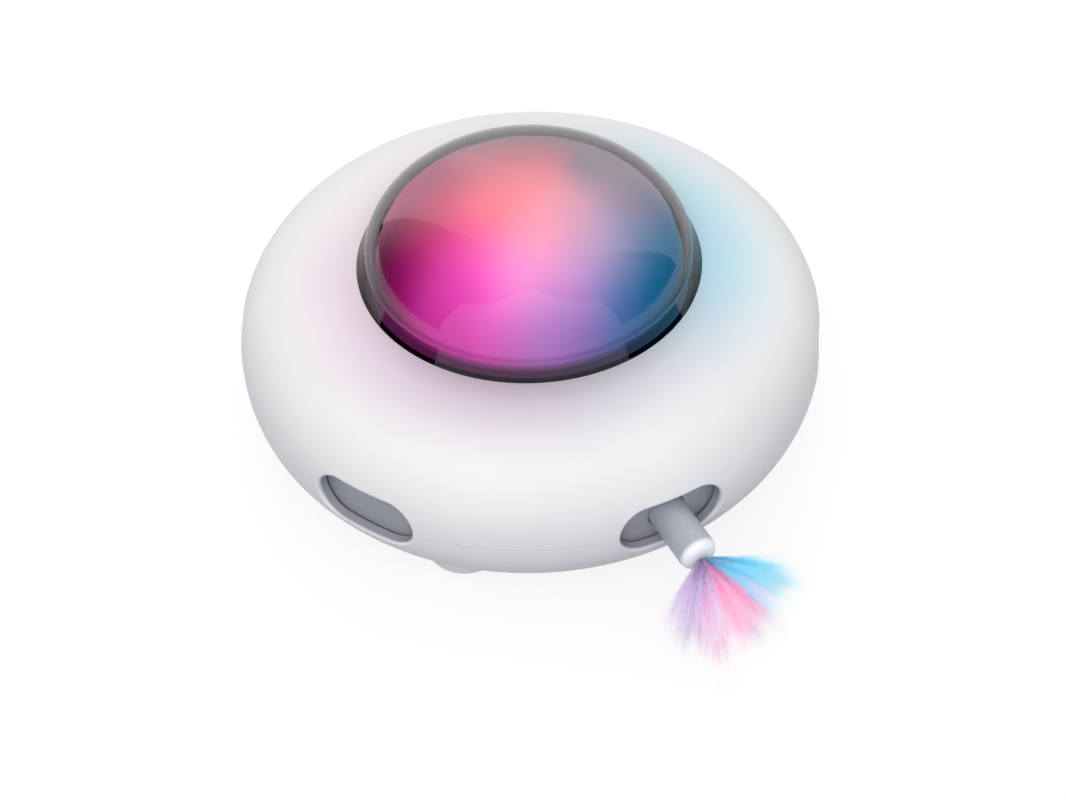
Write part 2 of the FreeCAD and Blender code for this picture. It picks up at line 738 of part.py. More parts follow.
def leds():
    """Square surface lamps on a circle, each with a round lens pocket."""
    top = LED_BOARD_Z + LED_BOARD_THICK
    half = LED_SIZE / 2
    lamp = block(-half, half, -LED_CIRCLE - half, -LED_CIRCLE + half, top, top + LED_HEIGHT)
    pocket = disc(LED_POCKET_RADIUS, top + LED_HEIGHT / 2, top + LED_HEIGHT, 0, -LED_CIRCLE)
    lamp = lamp.cut(pocket)
    return Part.makeCompound([turned(lamp, azimuth) for azimuth in around(LED_COUNT, 180.0 / LED_COUNT)])


def deck_screws():
    length = SCREW_BITE
    return Part.makeCompound([screw(x, y, DECK_Z, length, points_up=True) for x, y in deck_screws_at()])


def led_screws():
    seat = LED_BOARD_Z + LED_BOARD_THICK
    length = LED_BOARD_THICK + LED_BOARD_LIFT + DECK_THICK / 2
    return Part.makeCompound([screw(x, y, seat, length) for x, y in led_screws_at()])


# Power

def battery_cell():
    half = CELL_WIDTH / 2
    front = CELL_BACK_Y - CELL_LENGTH
    top = CELL_BOTTOM + CELL_THICK
    return rounded_block(-half, half, front, CELL_BACK_Y, CELL_BOTTOM, top, CELL_CORNER)


def battery_tape():
    half = CELL_WIDTH / 2 - TAPE_MARGIN
    front = CELL_BACK_Y - CELL_LENGTH + TAPE_MARGIN
    return block(-half, half, front, CELL_BACK_Y - TAPE_MARGIN, FLOOR_Z, CELL_BOTTOM)


def main_board():
    """Circuit board whose back edge follows the shell."""
    board = block(-BOARD_HALF_WIDTH, BOARD_HALF_WIDTH, BOARD_FRONT_Y, FAR, BOARD_Z, BOARD_TOP)
    board = board.common(disc(BOARD_RADIUS, BOARD_Z, BOARD_TOP))
    return board.cut([screw_hole(x, y, BOARD_Z, BOARD_TOP, tight=False) for x, y in board_screws_at()])


def board_middle_y():
    return (BOARD_FRONT_Y + BOARD_RADIUS) / 2


def chip(x, beyond, width, depth, height, corner=0.0):
    """Package on the board, beyond its middle by a distance, with square or rounded corners."""
    y = board_middle_y() + beyond
    span = (x - width / 2, x + width / 2, y - depth / 2, y + depth / 2, BOARD_TOP, BOARD_TOP + height)
    return rounded_block(*span, corner) if corner else block(*span)


def board_chips():
    """Controller, motor driver, charger, inductor and capacitor on the board's top."""
    chips = [chip(*place) for place in (CONTROLLER, MOTOR_DRIVER, CHARGER)]
    chips.append(chip(*INDUCTOR, corner=INDUCTOR_CORNER))
    y = board_middle_y() + CAPACITOR_BEYOND
    chips.append(disc(CAPACITOR_RADIUS, BOARD_TOP, BOARD_TOP + CAPACITOR_HEIGHT, CAPACITOR_X, y))
    return Part.makeCompound(chips)


def board_screws():
    length = BOARD_THICK + SCREW_BITE / 2
    return Part.makeCompound([screw(x, y, BOARD_TOP, length) for x, y in board_screws_at()])


def charging_socket():
    """Metal shell with its tongue."""
    mouth = PORT_FACE_Y - SOFT_GAP
    back = mouth - SOCKET_LENGTH
    shell = stadium_y(SOCKET_WIDTH, SOCKET_HEIGHT, back, mouth, 0, SOCKET_Z)
    hollow_height = SOCKET_HEIGHT - 2 * SOCKET_WALL
    hollow_width = SOCKET_WIDTH - 2 * SOCKET_WALL
    hollow = stadium_y(hollow_width, hollow_height, mouth - SOCKET_DEPTH, mouth, 0, SOCKET_Z)
    half = hollow_width / 2 - TONGUE_MARGIN
    low = SOCKET_Z - SOCKET_TONGUE / 2
    tongue = block(-half, half, back + SOCKET_WALL, mouth - TONGUE_MARGIN, low, low + SOCKET_TONGUE)
    return fused(shell.cut(hollow), [tongue])


def power_switch():
    """Tactile switch under the board, with a well for the button's stem."""
    half = SWITCH_SIZE / 2
    low = BOARD_Z - SWITCH_HEIGHT
    case = block(BUTTON_X - half, BUTTON_X + half, BUTTON_Y - half, BUTTON_Y + half, low, BOARD_Z)
    well_top = low + STEM_ENTRY + BUTTON_TRAVEL + SOFT_GAP
    return case.cut(disc(STEM_RADIUS + LOOSE_FIT, low, well_top, BUTTON_X, BUTTON_Y))


def power_button():
    cap = disc(BUTTON_RADIUS, UNDERSIDE_Z - BUTTON_PROUD, FLOOR_Z + LOOSE_FIT, BUTTON_X, BUTTON_Y)
    rim = [e for e in cap.Edges if abs(e.BoundBox.ZMax - cap.BoundBox.ZMin) < TINY]
    cap = cap.makeFillet(BUTTON_ROUND, rim)
    flange_z = FLOOR_Z + LOOSE_FIT
    wide = BUTTON_RADIUS + BUTTON_FLANGE
    flange = disc(wide, flange_z, flange_z + BUTTON_FLANGE_THICK, BUTTON_X, BUTTON_Y)
    stem = disc(STEM_RADIUS, flange_z, BOARD_Z - SWITCH_HEIGHT + STEM_ENTRY, BUTTON_X, BUTTON_Y)
    return fused(cap, [flange, stem])


# Gearmotor

def gearbox_block(z0, z1, inset=0.0):
    return rounded_block(
        -GEARBOX_HALF_WIDTH + inset, GEARBOX_HALF_WIDTH - inset,
        GEARBOX_FRONT + inset, GEARBOX_BACK - inset,
        z0, z1, GEARBOX_CORNER - inset / 2,
    )


def gearbox_case():
    """Open-topped gearbox with two screw ears."""
    top = GEARBOX_TOP - GEARBOX_COVER
    case = gearbox_block(FLOOR_Z, top)
    ears = []
    for x, y in gearbox_ears_at():
        web = block(min(x, 0), max(x, 0), y - EAR_RADIUS, y + EAR_RADIUS, FLOOR_Z, FLOOR_Z + EAR_THICK)
        ears.append(fused(disc(EAR_RADIUS, FLOOR_Z, FLOOR_Z + EAR_THICK, x, y), [web]))
    case = fused(case, ears).cut(gearbox_block(FLOOR_Z + EAR_THICK, top, GEARBOX_WALL))
    seat = disc(SHAFT_RADIUS + GEARBOX_WALL, FLOOR_Z, FLOOR_Z + 2 * EAR_THICK)
    case = fused(case, [seat])
    holes = [screw_hole(x, y, FLOOR_Z, FLOOR_Z + EAR_THICK, tight=False) for x, y in gearbox_ears_at()]
    return case.cut(holes + [disc(SHAFT_RADIUS + RUNNING_FIT, FLOOR_Z + EAR_THICK / 2, GEARBOX_TOP)])


def gearbox_cover():
    """Lid with the pivot that the turntable turns on."""
    lid = gearbox_block(GEARBOX_TOP - GEARBOX_COVER, GEARBOX_TOP)
    pivot = disc(PIVOT_RADIUS, GEARBOX_TOP - GEARBOX_COVER, DISC_TOP - SLIDE_GAP)
    bore = disc(SHAFT_RADIUS + RUNNING_FIT, FLOOR_Z, FAR)
    return fused(lid, [pivot]).cut(bore)


def gearbox_screws():
    seat = FLOOR_Z + EAR_THICK
    length = EAR_THICK + WALL / 2
    return Part.makeCompound([screw(x, y, seat, length) for x, y in gearbox_ears_at()])


def motor_z():
    return FLOOR_Z + GEARBOX_WALL / 2 + MOTOR_HEIGHT / 2


def motor_can():
    """Flat-sided motor can against the back of the gearbox."""
    back = GEARBOX_BACK + MOTOR_LENGTH - MOTOR_CAP
    return rounded_bar_y(MOTOR_WIDTH, MOTOR_HEIGHT, GEARBOX_BACK, back, MOTOR_X, motor_z(), MOTOR_CORNER)


def motor_cap():
    front = GEARBOX_BACK + MOTOR_LENGTH - MOTOR_CAP
    back = GEARBOX_BACK + MOTOR_LENGTH
    width = MOTOR_WIDTH - 2 * MOTOR_CAP_INSET
    height = MOTOR_HEIGHT - 2 * MOTOR_CAP_INSET
    cap = rounded_bar_y(width, height, front, back, MOTOR_X, motor_z(), MOTOR_CORNER - MOTOR_CAP_INSET)
    low = motor_lead_z() - TERMINAL_THICK / 2
    half = TERMINAL_WIDTH / 2
    terminals = []
    for side in (-1, 1):
        x = MOTOR_X + side * TERMINAL_SPACING / 2
        terminals.append(block(
            x - half, x + half, back - TERMINAL_ROOT, back + TERMINAL_LENGTH, low, low + TERMINAL_THICK,
        ))
    return fused(cap, terminals)


def motor_lead_z():
    return motor_z() + TERMINAL_LIFT


def motor_leads():
    """Two short wires from the motor's terminals to the board."""
    wires = []
    start_y = GEARBOX_BACK + MOTOR_LENGTH + TERMINAL_LENGTH
    pad_z = BOARD_TOP + MOTOR_LEAD_RADIUS
    for side in (-1, 1):
        x = MOTOR_X + side * TERMINAL_SPACING / 2
        wires.append(lead([
            vec(x, start_y, motor_lead_z()),
            vec(x, start_y + MOTOR_LEAD_RUN, motor_lead_z()),
            vec(x, BOARD_FRONT_Y + MOTOR_LEAD_RUN, pad_z),
            vec(x, BOARD_FRONT_Y + 2 * MOTOR_LEAD_RUN, pad_z),
        ], MOTOR_LEAD_RADIUS))
    return Part.makeCompound(wires)


def power_leads():
    """Two wires along the floor from the cell to the board."""
    wires = []
    inner_x = GEARBOX_HALF_WIDTH + 2 * EAR_RADIUS
    low = FLOOR_Z + POWER_LEAD_RADIUS + LOOSE_FIT
    cell_z = CELL_BOTTOM + CELL_THICK / 2
    pad_z = BOARD_TOP + POWER_LEAD_RADIUS
    for index in range(2):
        x = -inner_x - index * POWER_LEAD_PITCH
        end_x = x + EAR_RADIUS
        wires.append(lead([
            vec(end_x, CELL_BACK_Y, cell_z),
            vec(end_x, CELL_BACK_Y + POWER_LEAD_RUN, cell_z),
            vec(x, CELL_BACK_Y + POWER_LEAD_FALL, low),
            vec(x, BOARD_FRONT_Y - POWER_LEAD_CLIMB, low),
            vec(end_x, BOARD_FRONT_Y - POWER_LEAD_RUN, pad_z + POWER_LEAD_LIFT),
            vec(end_x, BOARD_FRONT_Y + POWER_LEAD_RUN, pad_z),
        ], POWER_LEAD_RADIUS))
    return Part.makeCompound(wires)


def board_connector():
    half = CONNECTOR_WIDTH / 2
    outer = RING_INNER + RING_WIDTH / 2
    inner = outer - CONNECTOR_LENGTH
    solid = block(-half, half, -outer, -inner, BOARD_TOP, BOARD_TOP + CONNECTOR_HEIGHT)
    return turned(solid, LIGHT_LEAD_AZIMUTH)


def light_lead():
    """Lead from the board up the groove in the waist and in to the light deck."""
    climb = BAND_RADIUS + DRUM_GAP
    low = BOARD_TOP + CONNECTOR_HEIGHT / 2
    high = DECK_Z - CONNECTOR_HEIGHT / 2
    start = RING_INNER + RING_WIDTH / 2
    route = [
        (start, low),
        (inner_radius(low) - LIGHT_LEAD_GAP, low),
        (climb, DRUM_BOTTOM),
        (climb, DRUM_TOP + LIGHT_LEAD_RISE),
        (inner_radius(high) - LIGHT_LEAD_GAP, high),
        (LED_SCREW_CIRCLE, high),
    ]
    points = [vec(0, -r, z) for r, z in route]
    return turned(lead(points, LIGHT_LEAD_RADIUS, LIGHT_LEAD_BEND), LIGHT_LEAD_AZIMUTH)


# Slide ring

def slide_ring():
    """Low-friction ring that the turntable slides on."""
    body = ring(RING_INNER, RING_OUTER, RING_BOTTOM, RING_TOP)
    head_depth = SCREW_HEAD_HEIGHT + LOOSE_FIT
    cutters = [screw_hole(x, y, RING_BOTTOM, RING_TOP, tight=False) for x, y in ring_posts_at()]
    cutters += [disc(SCREW_HEAD_RADIUS + SNAP_FIT, RING_TOP - head_depth, RING_TOP, x, y)
                for x, y in ring_posts_at()]
    return body.cut(cutters)


def ring_screws():
    seat = RING_TOP - SCREW_HEAD_HEIGHT - LOOSE_FIT
    length = seat - RING_BOTTOM + SCREW_BITE
    return Part.makeCompound([screw(x, y, seat, length) for x, y in ring_posts_at()])


# Turntable

def drum_screws_at():
    radius = DRUM_INNER - DRUM_FLANGE_WIDTH / 2
    return [polar(radius, azimuth) for azimuth in around(DRUM_SCREW_COUNT, 180.0 / DRUM_SCREW_COUNT)]


def keeper_span():
    """Start and end of the rack's keeper along Y."""
    return PLATE_INNER_Y + TOOTH_PITCH, RACK_END_Y + ROD_STROKE + TOOTH_PITCH


def keeper_screws_at():
    start, end = keeper_span()
    x = RIDGE_X + RIDGE_THICK / 2
    step = (end - start) / KEEPER_SCREW_COUNT
    return [(x, start + step * (index + 0.5)) for index in range(KEEPER_SCREW_COUNT)]


def guide_screws_at():
    x = GUIDE_HALF_WIDTH + GUIDE_EAR / 2
    y = GUIDE_INNER_Y - GUIDE_EAR / 2
    return [(-x, y), (x, y)]


def turntable():
    """Disc that turns on the pivot and carries the wand's track."""
    bore = PIVOT_RADIUS + RUNNING_FIT
    plate = disc(DISC_RADIUS, DISC_BOTTOM, DISC_TOP)
    hub = disc(bore + HUB_WALL, DISC_BOTTOM - HUB_DROP, DISC_BOTTOM)
    start, end = keeper_span()
    ridge = block(RIDGE_X, RIDGE_X + RIDGE_THICK, start, end, DISC_TOP, RACK_TOP + SLIDE_GAP)
    sun_room = SUN_PITCH + GEAR_MODULE + RIB_CLEARANCE
    rib_x = RACK_TIP_X - SLIDE_GAP
    ribs = [
        block(rib_x - RIB_THICK, rib_x, start, -sun_room, DISC_TOP, DISC_TOP + RIB_HEIGHT),
        block(rib_x - RIB_THICK, rib_x, sun_room, end, DISC_TOP, DISC_TOP + RIB_HEIGHT),
    ]
    stop_y = RACK_END_Y + ROD_STROKE + SLIDE_GAP
    stop = block(rib_x - RIB_THICK, RIDGE_X, stop_y, stop_y + RIDGE_THICK, DISC_TOP, RACK_TOP)
    cutters = [disc(bore, 0, FAR)]
    cutters += [screw_hole(x, y, RACK_TOP + SLIDE_GAP - SCREW_BITE, FAR) for x, y in keeper_screws_at()]
    cutters += [screw_hole(x, y, DISC_BOTTOM, DISC_TOP) for x, y in drum_screws_at() + guide_screws_at()]
    return fused(plate, [hub, ridge, stop] + ribs).cut(cutters)


def rack_keeper():
    """Strip over the rack's back that keeps it down."""
    start, end = keeper_span()
    low = RACK_TOP + SLIDE_GAP
    high = low + KEEPER_THICK
    strip = block(RACK_BACK_X - KEEPER_OVERLAP, RIDGE_X + RIDGE_THICK, start, end, low, high)
    return strip.cut([screw_hole(x, y, low, high, tight=False) for x, y in keeper_screws_at()])


def keeper_screws():
    seat = RACK_TOP + SLIDE_GAP + KEEPER_THICK
    length = KEEPER_THICK + SCREW_BITE
    return Part.makeCompound([screw(x, y, seat, length) for x, y in keeper_screws_at()])


def drum():
    """Skirt behind the windows, with one hole for the wand."""
    skirt = ring(DRUM_INNER, DRUM_RADIUS, DRUM_BOTTOM, DRUM_TOP)
    flange_top = DISC_TOP + DRUM_FLANGE_THICK
    flange = ring(DRUM_INNER - DRUM_FLANGE_WIDTH, DRUM_INNER, DISC_TOP, flange_top)
    half = GUIDE_HALF_WIDTH + GUIDE_EAR + SOFT_GAP
    notch = block(-half, half, -DRUM_INNER, -DRUM_INNER / 2, DISC_TOP, flange_top)
    shell = fused(skirt, [flange.cut(notch)])
    cutters = [screw_hole(x, y, DISC_TOP, flange_top, tight=False) for x, y in drum_screws_at()]
    cutters.append(bar_y(ROD_RADIUS + SOFT_GAP, -FAR, -DRUM_INNER / 2, 0, PARTING_Z))
    return shell.cut(cutters)


def drum_screws():
    seat = DISC_TOP + DRUM_FLANGE_THICK
    length = DRUM_FLANGE_THICK + DISC_THICK
    return Part.makeCompound([screw(x, y, seat, length) for x, y in drum_screws_at()])


def wand_guide():
    """Block with the bore that the wand slides through."""
    room = disc(DISC_RADIUS, 0, FAR)
    top = PARTING_Z + ROD_RADIUS + GUIDE_EAR_THICK
    half = GUIDE_HALF_WIDTH
    body = block(-half, half, -FAR, GUIDE_INNER_Y, DISC_TOP, top).common(room)
    wide = half + GUIDE_EAR
    ears = block(-wide, wide, -FAR, GUIDE_INNER_Y, DISC_TOP, DISC_TOP + GUIDE_EAR_THICK)
    solid = fused(body, [ears.common(room)])
    cutters = [screw_hole(x, y, DISC_TOP, top, tight=False) for x, y in guide_screws_at()]
    cutters.append(bar_y(ROD_RADIUS + RUNNING_FIT, -FAR, 0, 0, PARTING_Z))
    return solid.cut(cutters)


def guide_screws():
    seat = DISC_TOP + GUIDE_EAR_THICK
    length = GUIDE_EAR_THICK + DISC_THICK
    return Part.makeCompound([screw(x, y, seat, length) for x, y in guide_screws_at()])


# Drive

def involute(base, radius, start_angle, side):
    """Point at a radius on the involute that leaves the base circle at start_angle."""
    unwound = math.sqrt(max((radius / base) ** 2 - 1, 0.0))
    angle = start_angle + side * (unwound - math.atan(unwound))
    return vec(radius * math.cos(angle), radius * math.sin(angle), 0)


def sun_gear():
    """Spur gear with a tooth gap facing the rack."""
    pressure = math.radians(PRESSURE_ANGLE)
    base = SUN_PITCH * math.cos(pressure)
    tip = SUN_PITCH + GEAR_MODULE
    root = SUN_PITCH - GEAR_MODULE - ROOT_CLEARANCE
    half_tooth = (TOOTH_PITCH / 2 - BACKLASH) / SUN_PITCH / 2
    half_base = half_tooth + math.tan(pressure) - pressure
    radii = [base + (tip - base) * step / FLANK_STEPS for step in range(FLANK_STEPS + 1)]
    edges = []
    step_angle = 2 * math.pi / SUN_TEETH
    for tooth in range(SUN_TEETH):
        middle = (tooth + 0.5) * step_angle
        rising = [involute(base, radius, middle - half_base, 1) for radius in radii]
        falling = [involute(base, radius, middle + half_base, -1) for radius in reversed(radii)]
        foot_in = vec(root * math.cos(middle - half_base), root * math.sin(middle - half_base), 0)
        foot_out = vec(root * math.cos(middle + half_base), root * math.sin(middle + half_base), 0)
        next_angle = middle + step_angle - half_base
        foot_next = vec(root * math.cos(next_angle), root * math.sin(next_angle), 0)
        edges.append(Part.LineSegment(foot_in, rising[0]).toShape())
        edges.append(smooth_edge(rising))
        edges.append(Part.LineSegment(rising[-1], falling[0]).toShape())
        edges.append(smooth_edge(falling))
        edges.append(Part.LineSegment(falling[-1], foot_out).toShape())
        edges.append(Part.LineSegment(foot_out, foot_next).toShape())
    gear = Part.Face(Part.Wire(edges)).extrude(vec(0, 0, SUN_TOP - SUN_BOTTOM))
    gear.translate(vec(0, 0, SUN_BOTTOM))
    return gear.cut(disc(SHAFT_RADIUS + PRESS_FIT, 0, FAR))


def smooth_edge(points):
    curve = Part.BSplineCurve()
    curve.interpolate(points)
    return curve.toShape()


def output_shaft():
    """Shaft from the gearbox up through the pivot to the sun gear."""
    shaft = disc(SHAFT_RADIUS, FLOOR_Z + EAR_THICK / 2 + LOOSE_FIT, SUN_TOP)
    return shaft.cut(screw_hole(0, 0, SUN_TOP - SCREW_BITE, SUN_TOP))


def gear_screw():
    """Screw and washer that hold the sun gear on its shaft."""
    washer = disc(SHAFT_RADIUS + GEAR_MODULE, SUN_TOP, SUN_TOP + SCREW_RECESS)
    fastener = screw(0, 0, SUN_TOP + SCREW_RECESS, SCREW_BITE)
    return fused(fastener, [washer])


# Wand

def rack_profile(first_y):
    """Outline of the rack, teeth towards the sun gear."""
    slope = math.tan(math.radians(PRESSURE_ANGLE))
    half_pitch = TOOTH_PITCH / 4 - BACKLASH / 2
    half_tip = half_pitch - GEAR_MODULE * slope
    half_root = half_pitch + (GEAR_MODULE + ROOT_CLEARANCE) * slope
    points = [vec(RACK_BACK_X, PLATE_OUTER_Y, 0), vec(RACK_ROOT_X, PLATE_OUTER_Y, 0)]
    count = int((PLATE_INNER_Y - TOOTH_PITCH) / TOOTH_PITCH)
    for tooth in range(count + 1, RACK_SPARE_TEETH + 1):
        y = tooth * TOOTH_PITCH
        points.append(vec(RACK_ROOT_X, y - half_root, 0))
        points.append(vec(RACK_TIP_X, y - half_tip, 0))
        points.append(vec(RACK_TIP_X, y + half_tip, 0))
        points.append(vec(RACK_ROOT_X, y + half_root, 0))
    points.append(vec(RACK_ROOT_X, first_y, 0))
    points.append(vec(RACK_BACK_X, first_y, 0))
    points.append(points[0])
    return Part.Face(Part.makePolygon(points))


def wand_carriage():
    """Rack, end plate and spigot in one moulding."""
    rack = rack_profile(RACK_END_Y).extrude(vec(0, 0, RACK_TOP - RACK_BOTTOM))
    rack.translate(vec(0, 0, RACK_BOTTOM))
    plate_x = RACK_BACK_X - KEEPER_OVERLAP - SOFT_GAP
    low = DISC_TOP + RIB_HEIGHT + SOFT_GAP
    plate = block(-ROD_RADIUS, plate_x, PLATE_OUTER_Y, PLATE_INNER_Y, low, PARTING_Z + ROD_RADIUS)
    spigot_end = PLATE_OUTER_Y - SPIGOT_LENGTH
    spigot = bar_y(ROD_BORE - PRESS_FIT, spigot_end, PLATE_OUTER_Y, 0, PARTING_Z)
    return fused(rack, [plate, spigot])


def wand_rod():
    """Hollow rod with a rounded nose and a small hole for the feather."""
    rod = bar_y(ROD_RADIUS, -ROD_REACH, PLATE_OUTER_Y, 0, PARTING_Z)
    nose = [e for e in rod.Edges if abs(e.BoundBox.YMax + ROD_REACH) < TINY]
    rod = rod.makeFillet(ROD_NOSE, nose)
    bore = bar_y(ROD_BORE, -ROD_REACH + NOSE_DEPTH, PLATE_OUTER_Y, 0, PARTING_Z)
    return rod.cut([bore, bar_y(PLUG_RADIUS + PRESS_FIT, -FAR, 0, 0, PARTING_Z)])


def feather_plug():
    """Plug in the nose that holds the feather's quills."""
    start = -ROD_REACH - PRESS_FIT
    return bar_y(PLUG_RADIUS, start, start + PLUG_LENGTH, 0, PARTING_Z)


def tuft_section(share, half_width, half_depth):
    """Oval across the tuft at a share of its length."""
    y = -ROD_REACH - SOFT_GAP - TUFT_LENGTH * share
    z = PARTING_Z - TUFT_DROOP * share ** 2
    longer, shorter = max(half_width, half_depth), min(half_width, half_depth)
    oval = Part.Ellipse(vec(0, y, z), longer, shorter)
    oval.Axis = ALONG_Y
    oval.XAxis = vec(1, 0, 0)
    return Part.Wire(oval.toShape())


def tuft_solid():
    """Flared bell of the whole feather."""
    sections = [tuft_section(0.0, TUFT_ROOT_WIDTH, TUFT_ROOT_DEPTH)]
    for share, swell in TUFT_SWELL:
        sections.append(tuft_section(share, TUFT_HALF_WIDTH * swell, TUFT_HALF_DEPTH * swell))
    return Part.makeLoft(sections, True, False)


def tuft_wedge(start, end):
    """Upright wedge of the tuft between two directions from the plug, in degrees from -Y."""
    root = vec(0, -ROD_REACH + PLUG_RADIUS, 0)
    sides = [root + vec(*polar(FAR, angle), 0) for angle in (start, end)]
    corners = [root, *sides, root]
    wedge = Part.Face(Part.makePolygon(corners)).extrude(vec(0, 0, FAR))
    return tuft_solid().common(wedge)


def feather_lilac():
    return tuft_wedge(-TUFT_EDGE_ANGLE, -TUFT_PINK_ANGLE - TUFT_PART_GAP)


def feather_pink():
    return tuft_wedge(-TUFT_PINK_ANGLE + TUFT_PART_GAP, TUFT_PINK_ANGLE - TUFT_PART_GAP)


def feather_blue():
    return tuft_wedge(TUFT_PINK_ANGLE + TUFT_PART_GAP, TUFT_EDGE_ANGLE)


NODES = (
    lower_shell, upper_shell, rubber_feet, dome_cover, dome_seal, light_diffuser, light_deck,
    led_board, leds, deck_screws, led_screws, deck_connector, battery_cell, battery_tape,
    main_board, board_chips, board_screws, charging_socket, power_switch, power_button,
    gearbox_case, gearbox_cover, gearbox_screws, motor_can, motor_cap, motor_leads, power_leads,
    board_connector, light_lead, slide_ring, ring_screws, turntable, rack_keeper, keeper_screws,
    drum, drum_screws, wand_guide, guide_screws, sun_gear, output_shaft, gear_screw,
    wand_carriage, wand_rod, feather_plug, feather_lilac, feather_pink, feather_blue,
)

os.makedirs("parts", exist_ok=True)
for node in NODES:
    shape = node()
    print(node.__name__, len(shape.Solids), round(shape.Volume, 1), shape.isValid())
    shape.exportStep("parts/" + node.__name__ + ".step")
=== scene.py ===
"""Looks of the automatic feather-wand cat toy: its finishes, its feather, the light and the camera.

Lengths are in metres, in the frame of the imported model: the toy stands on z = 0 and its wand points along -Y.
Azimuths are in degrees, counted from the wand's side towards +X.
"""

import math

import bpy
import numpy as np
from mathutils import Matrix, Vector


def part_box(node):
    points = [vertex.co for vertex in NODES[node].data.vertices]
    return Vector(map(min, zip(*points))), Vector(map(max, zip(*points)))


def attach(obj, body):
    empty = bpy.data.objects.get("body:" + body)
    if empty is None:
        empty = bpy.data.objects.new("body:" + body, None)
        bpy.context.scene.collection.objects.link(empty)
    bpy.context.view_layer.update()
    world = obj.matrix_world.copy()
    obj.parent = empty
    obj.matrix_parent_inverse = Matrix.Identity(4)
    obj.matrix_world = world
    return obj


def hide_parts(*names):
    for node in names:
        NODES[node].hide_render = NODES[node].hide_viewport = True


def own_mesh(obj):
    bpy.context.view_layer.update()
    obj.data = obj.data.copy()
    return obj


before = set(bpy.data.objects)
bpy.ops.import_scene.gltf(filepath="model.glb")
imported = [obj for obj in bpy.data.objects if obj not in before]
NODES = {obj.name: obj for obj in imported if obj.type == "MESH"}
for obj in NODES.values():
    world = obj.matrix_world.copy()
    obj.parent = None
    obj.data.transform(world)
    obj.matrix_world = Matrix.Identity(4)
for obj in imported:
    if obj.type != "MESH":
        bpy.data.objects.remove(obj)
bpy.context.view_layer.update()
MM = 0.001

# Camera
VIEW_AZIMUTH = -26.0
VIEW_ELEVATION = 46.5
VIEW_DISTANCE = 0.700
VIEW_AIM_Z = -0.00135
VIEW_ROLL = -1.6
LENS = 69.1
SENSOR = 36.0
CLIP = (0.05, 50.0)

# Light: the hood's sides are angles round the toy from the camera's far side, its edges are elevations
FILL_STRENGTH = 0.74
FILL_COLOUR = (1.0, 0.99, 1.0)
HOOD_DISTANCE = 1.6
HOOD_TOP = 89.0
HOOD_FRONT = 57.0
HOOD_MIDDLE = 76.0
HOOD_SIDE = 46.0
HOOD_LEFT = 45.0
HOOD_RIGHT = 290.0
HOOD_FADE = (46.0, 82.0)
HOOD_FOOT = 0.5
HOOD_STEPS = (24, 10)
FLOOR_REACH = 12.0
FLOOR_COLOUR = (0.90, 0.90, 0.91)
FLOOR_BOUNCE = (0.20, 0.22, 0.28)
FLOOR_GLOW = 1.04
FLOOR_SHARE = 0.8

# Casing
SHELL_WHITE = (0.83, 0.83, 0.83)
SHELL_SHADE = (0.80, 0.80, 0.81)
SHELL_COAT = 0.06
# grey painted on the windows' walls as the shade in their recess
REVEAL_SHADE = (0.36, 0.37, 0.43)
REVEAL_HEIGHT = (9.6 * MM, 10.2 * MM)
REVEAL_RADIUS = (93.0 * MM, 93.7 * MM)

# Light of the lamps, painted on as glowing colour in spots in plan: azimuth, distance from the axis in
# millimetres, colour
LAMP_GLOWS = (
    # on the frosted inner dome
    (-40, 6, (1.0, 0.32, 0.34)),
    (-20, 26, (1.0, 0.36, 0.52)),
    (-52, 34, (1.0, 0.14, 0.60)),
    (-22, 42, (0.62, 0.20, 0.64)),
    (-58, 46, (0.66, 0.03, 0.42)),
    (-46, 53, (0.18, 0.01, 0.14)),
    (-18, 53, (0.06, 0.01, 0.09)),
    (-75, 36, (0.60, 0.01, 0.24)),
    (-72, 51, (0.03, 0.0, 0.03)),
    (-95, 44, (0.03, 0.0, 0.02)),
    (-4, 42, (0.10, 0.18, 0.56)),
    (4, 25, (0.75, 0.38, 0.52)),
    (22, 37, (0.0, 0.25, 0.48)),
    (4, 53, (0.0, 0.01, 0.06)),
    (28, 50, (0.0, 0.01, 0.05)),
    (54, 42, (0.0, 0.13, 0.23)),
    (42, 22, (0.50, 0.33, 0.42)),
    (88, 32, (0.28, 0.25, 0.28)),
    (160, 36, (0.30, 0.22, 0.23)),
    (175, 16, (0.62, 0.24, 0.27)),
    (-128, 35, (0.40, 0.13, 0.20)),
    (-92, 20, (0.80, 0.14, 0.22)),
)
RIM_PAINTED_GLOW = (
    # on the foot of the inner dome and on the seal, behind the dome's rim: painted glow, dark where no lamp
    # reaches
    (-95, 55, (0.06, 0.01, 0.045)),
    (-50, 55, (0.06, 0.004, 0.045)),
    (-18, 55, (0.02, 0.004, 0.02)),
    (20, 55, (0.003, 0.03, 0.055)),
    (70, 55, (0.02, 0.10, 0.14)),
    (180, 55, (0.06, 0.05, 0.05)),
)
PAINTED_GLOW_AND_SHADE = (
    # on the casing beside the dome, painted into its colour: the lamps' glow, and painted shade round the
    # dome's foot, deepest in front of it
    (-150, 64, (0.80, 0.75, 0.78)),
    (-100, 64, (0.78, 0.66, 0.74)),
    (-55, 64, (0.66, 0.52, 0.63)),
    (-26, 64, (0.56, 0.50, 0.58)),
    (15, 64, (0.60, 0.62, 0.68)),
    (60, 64, (0.44, 0.70, 0.80)),
    (105, 64, (0.54, 0.72, 0.78)),
    (150, 64, (0.78, 0.76, 0.76)),
)
GLOW_REACH = 28 * MM
RIM_REACH = 70 * MM
GLOW_AND_SHADE_REACH = 60 * MM
GLOW_AND_SHADE_EDGE = (57 * MM, 88 * MM)
GLOW_STRENGTH = 3.2
GLOW_FOOT_RISE = (6 * MM, 10 * MM)
SEAL_GLOW = 1.0

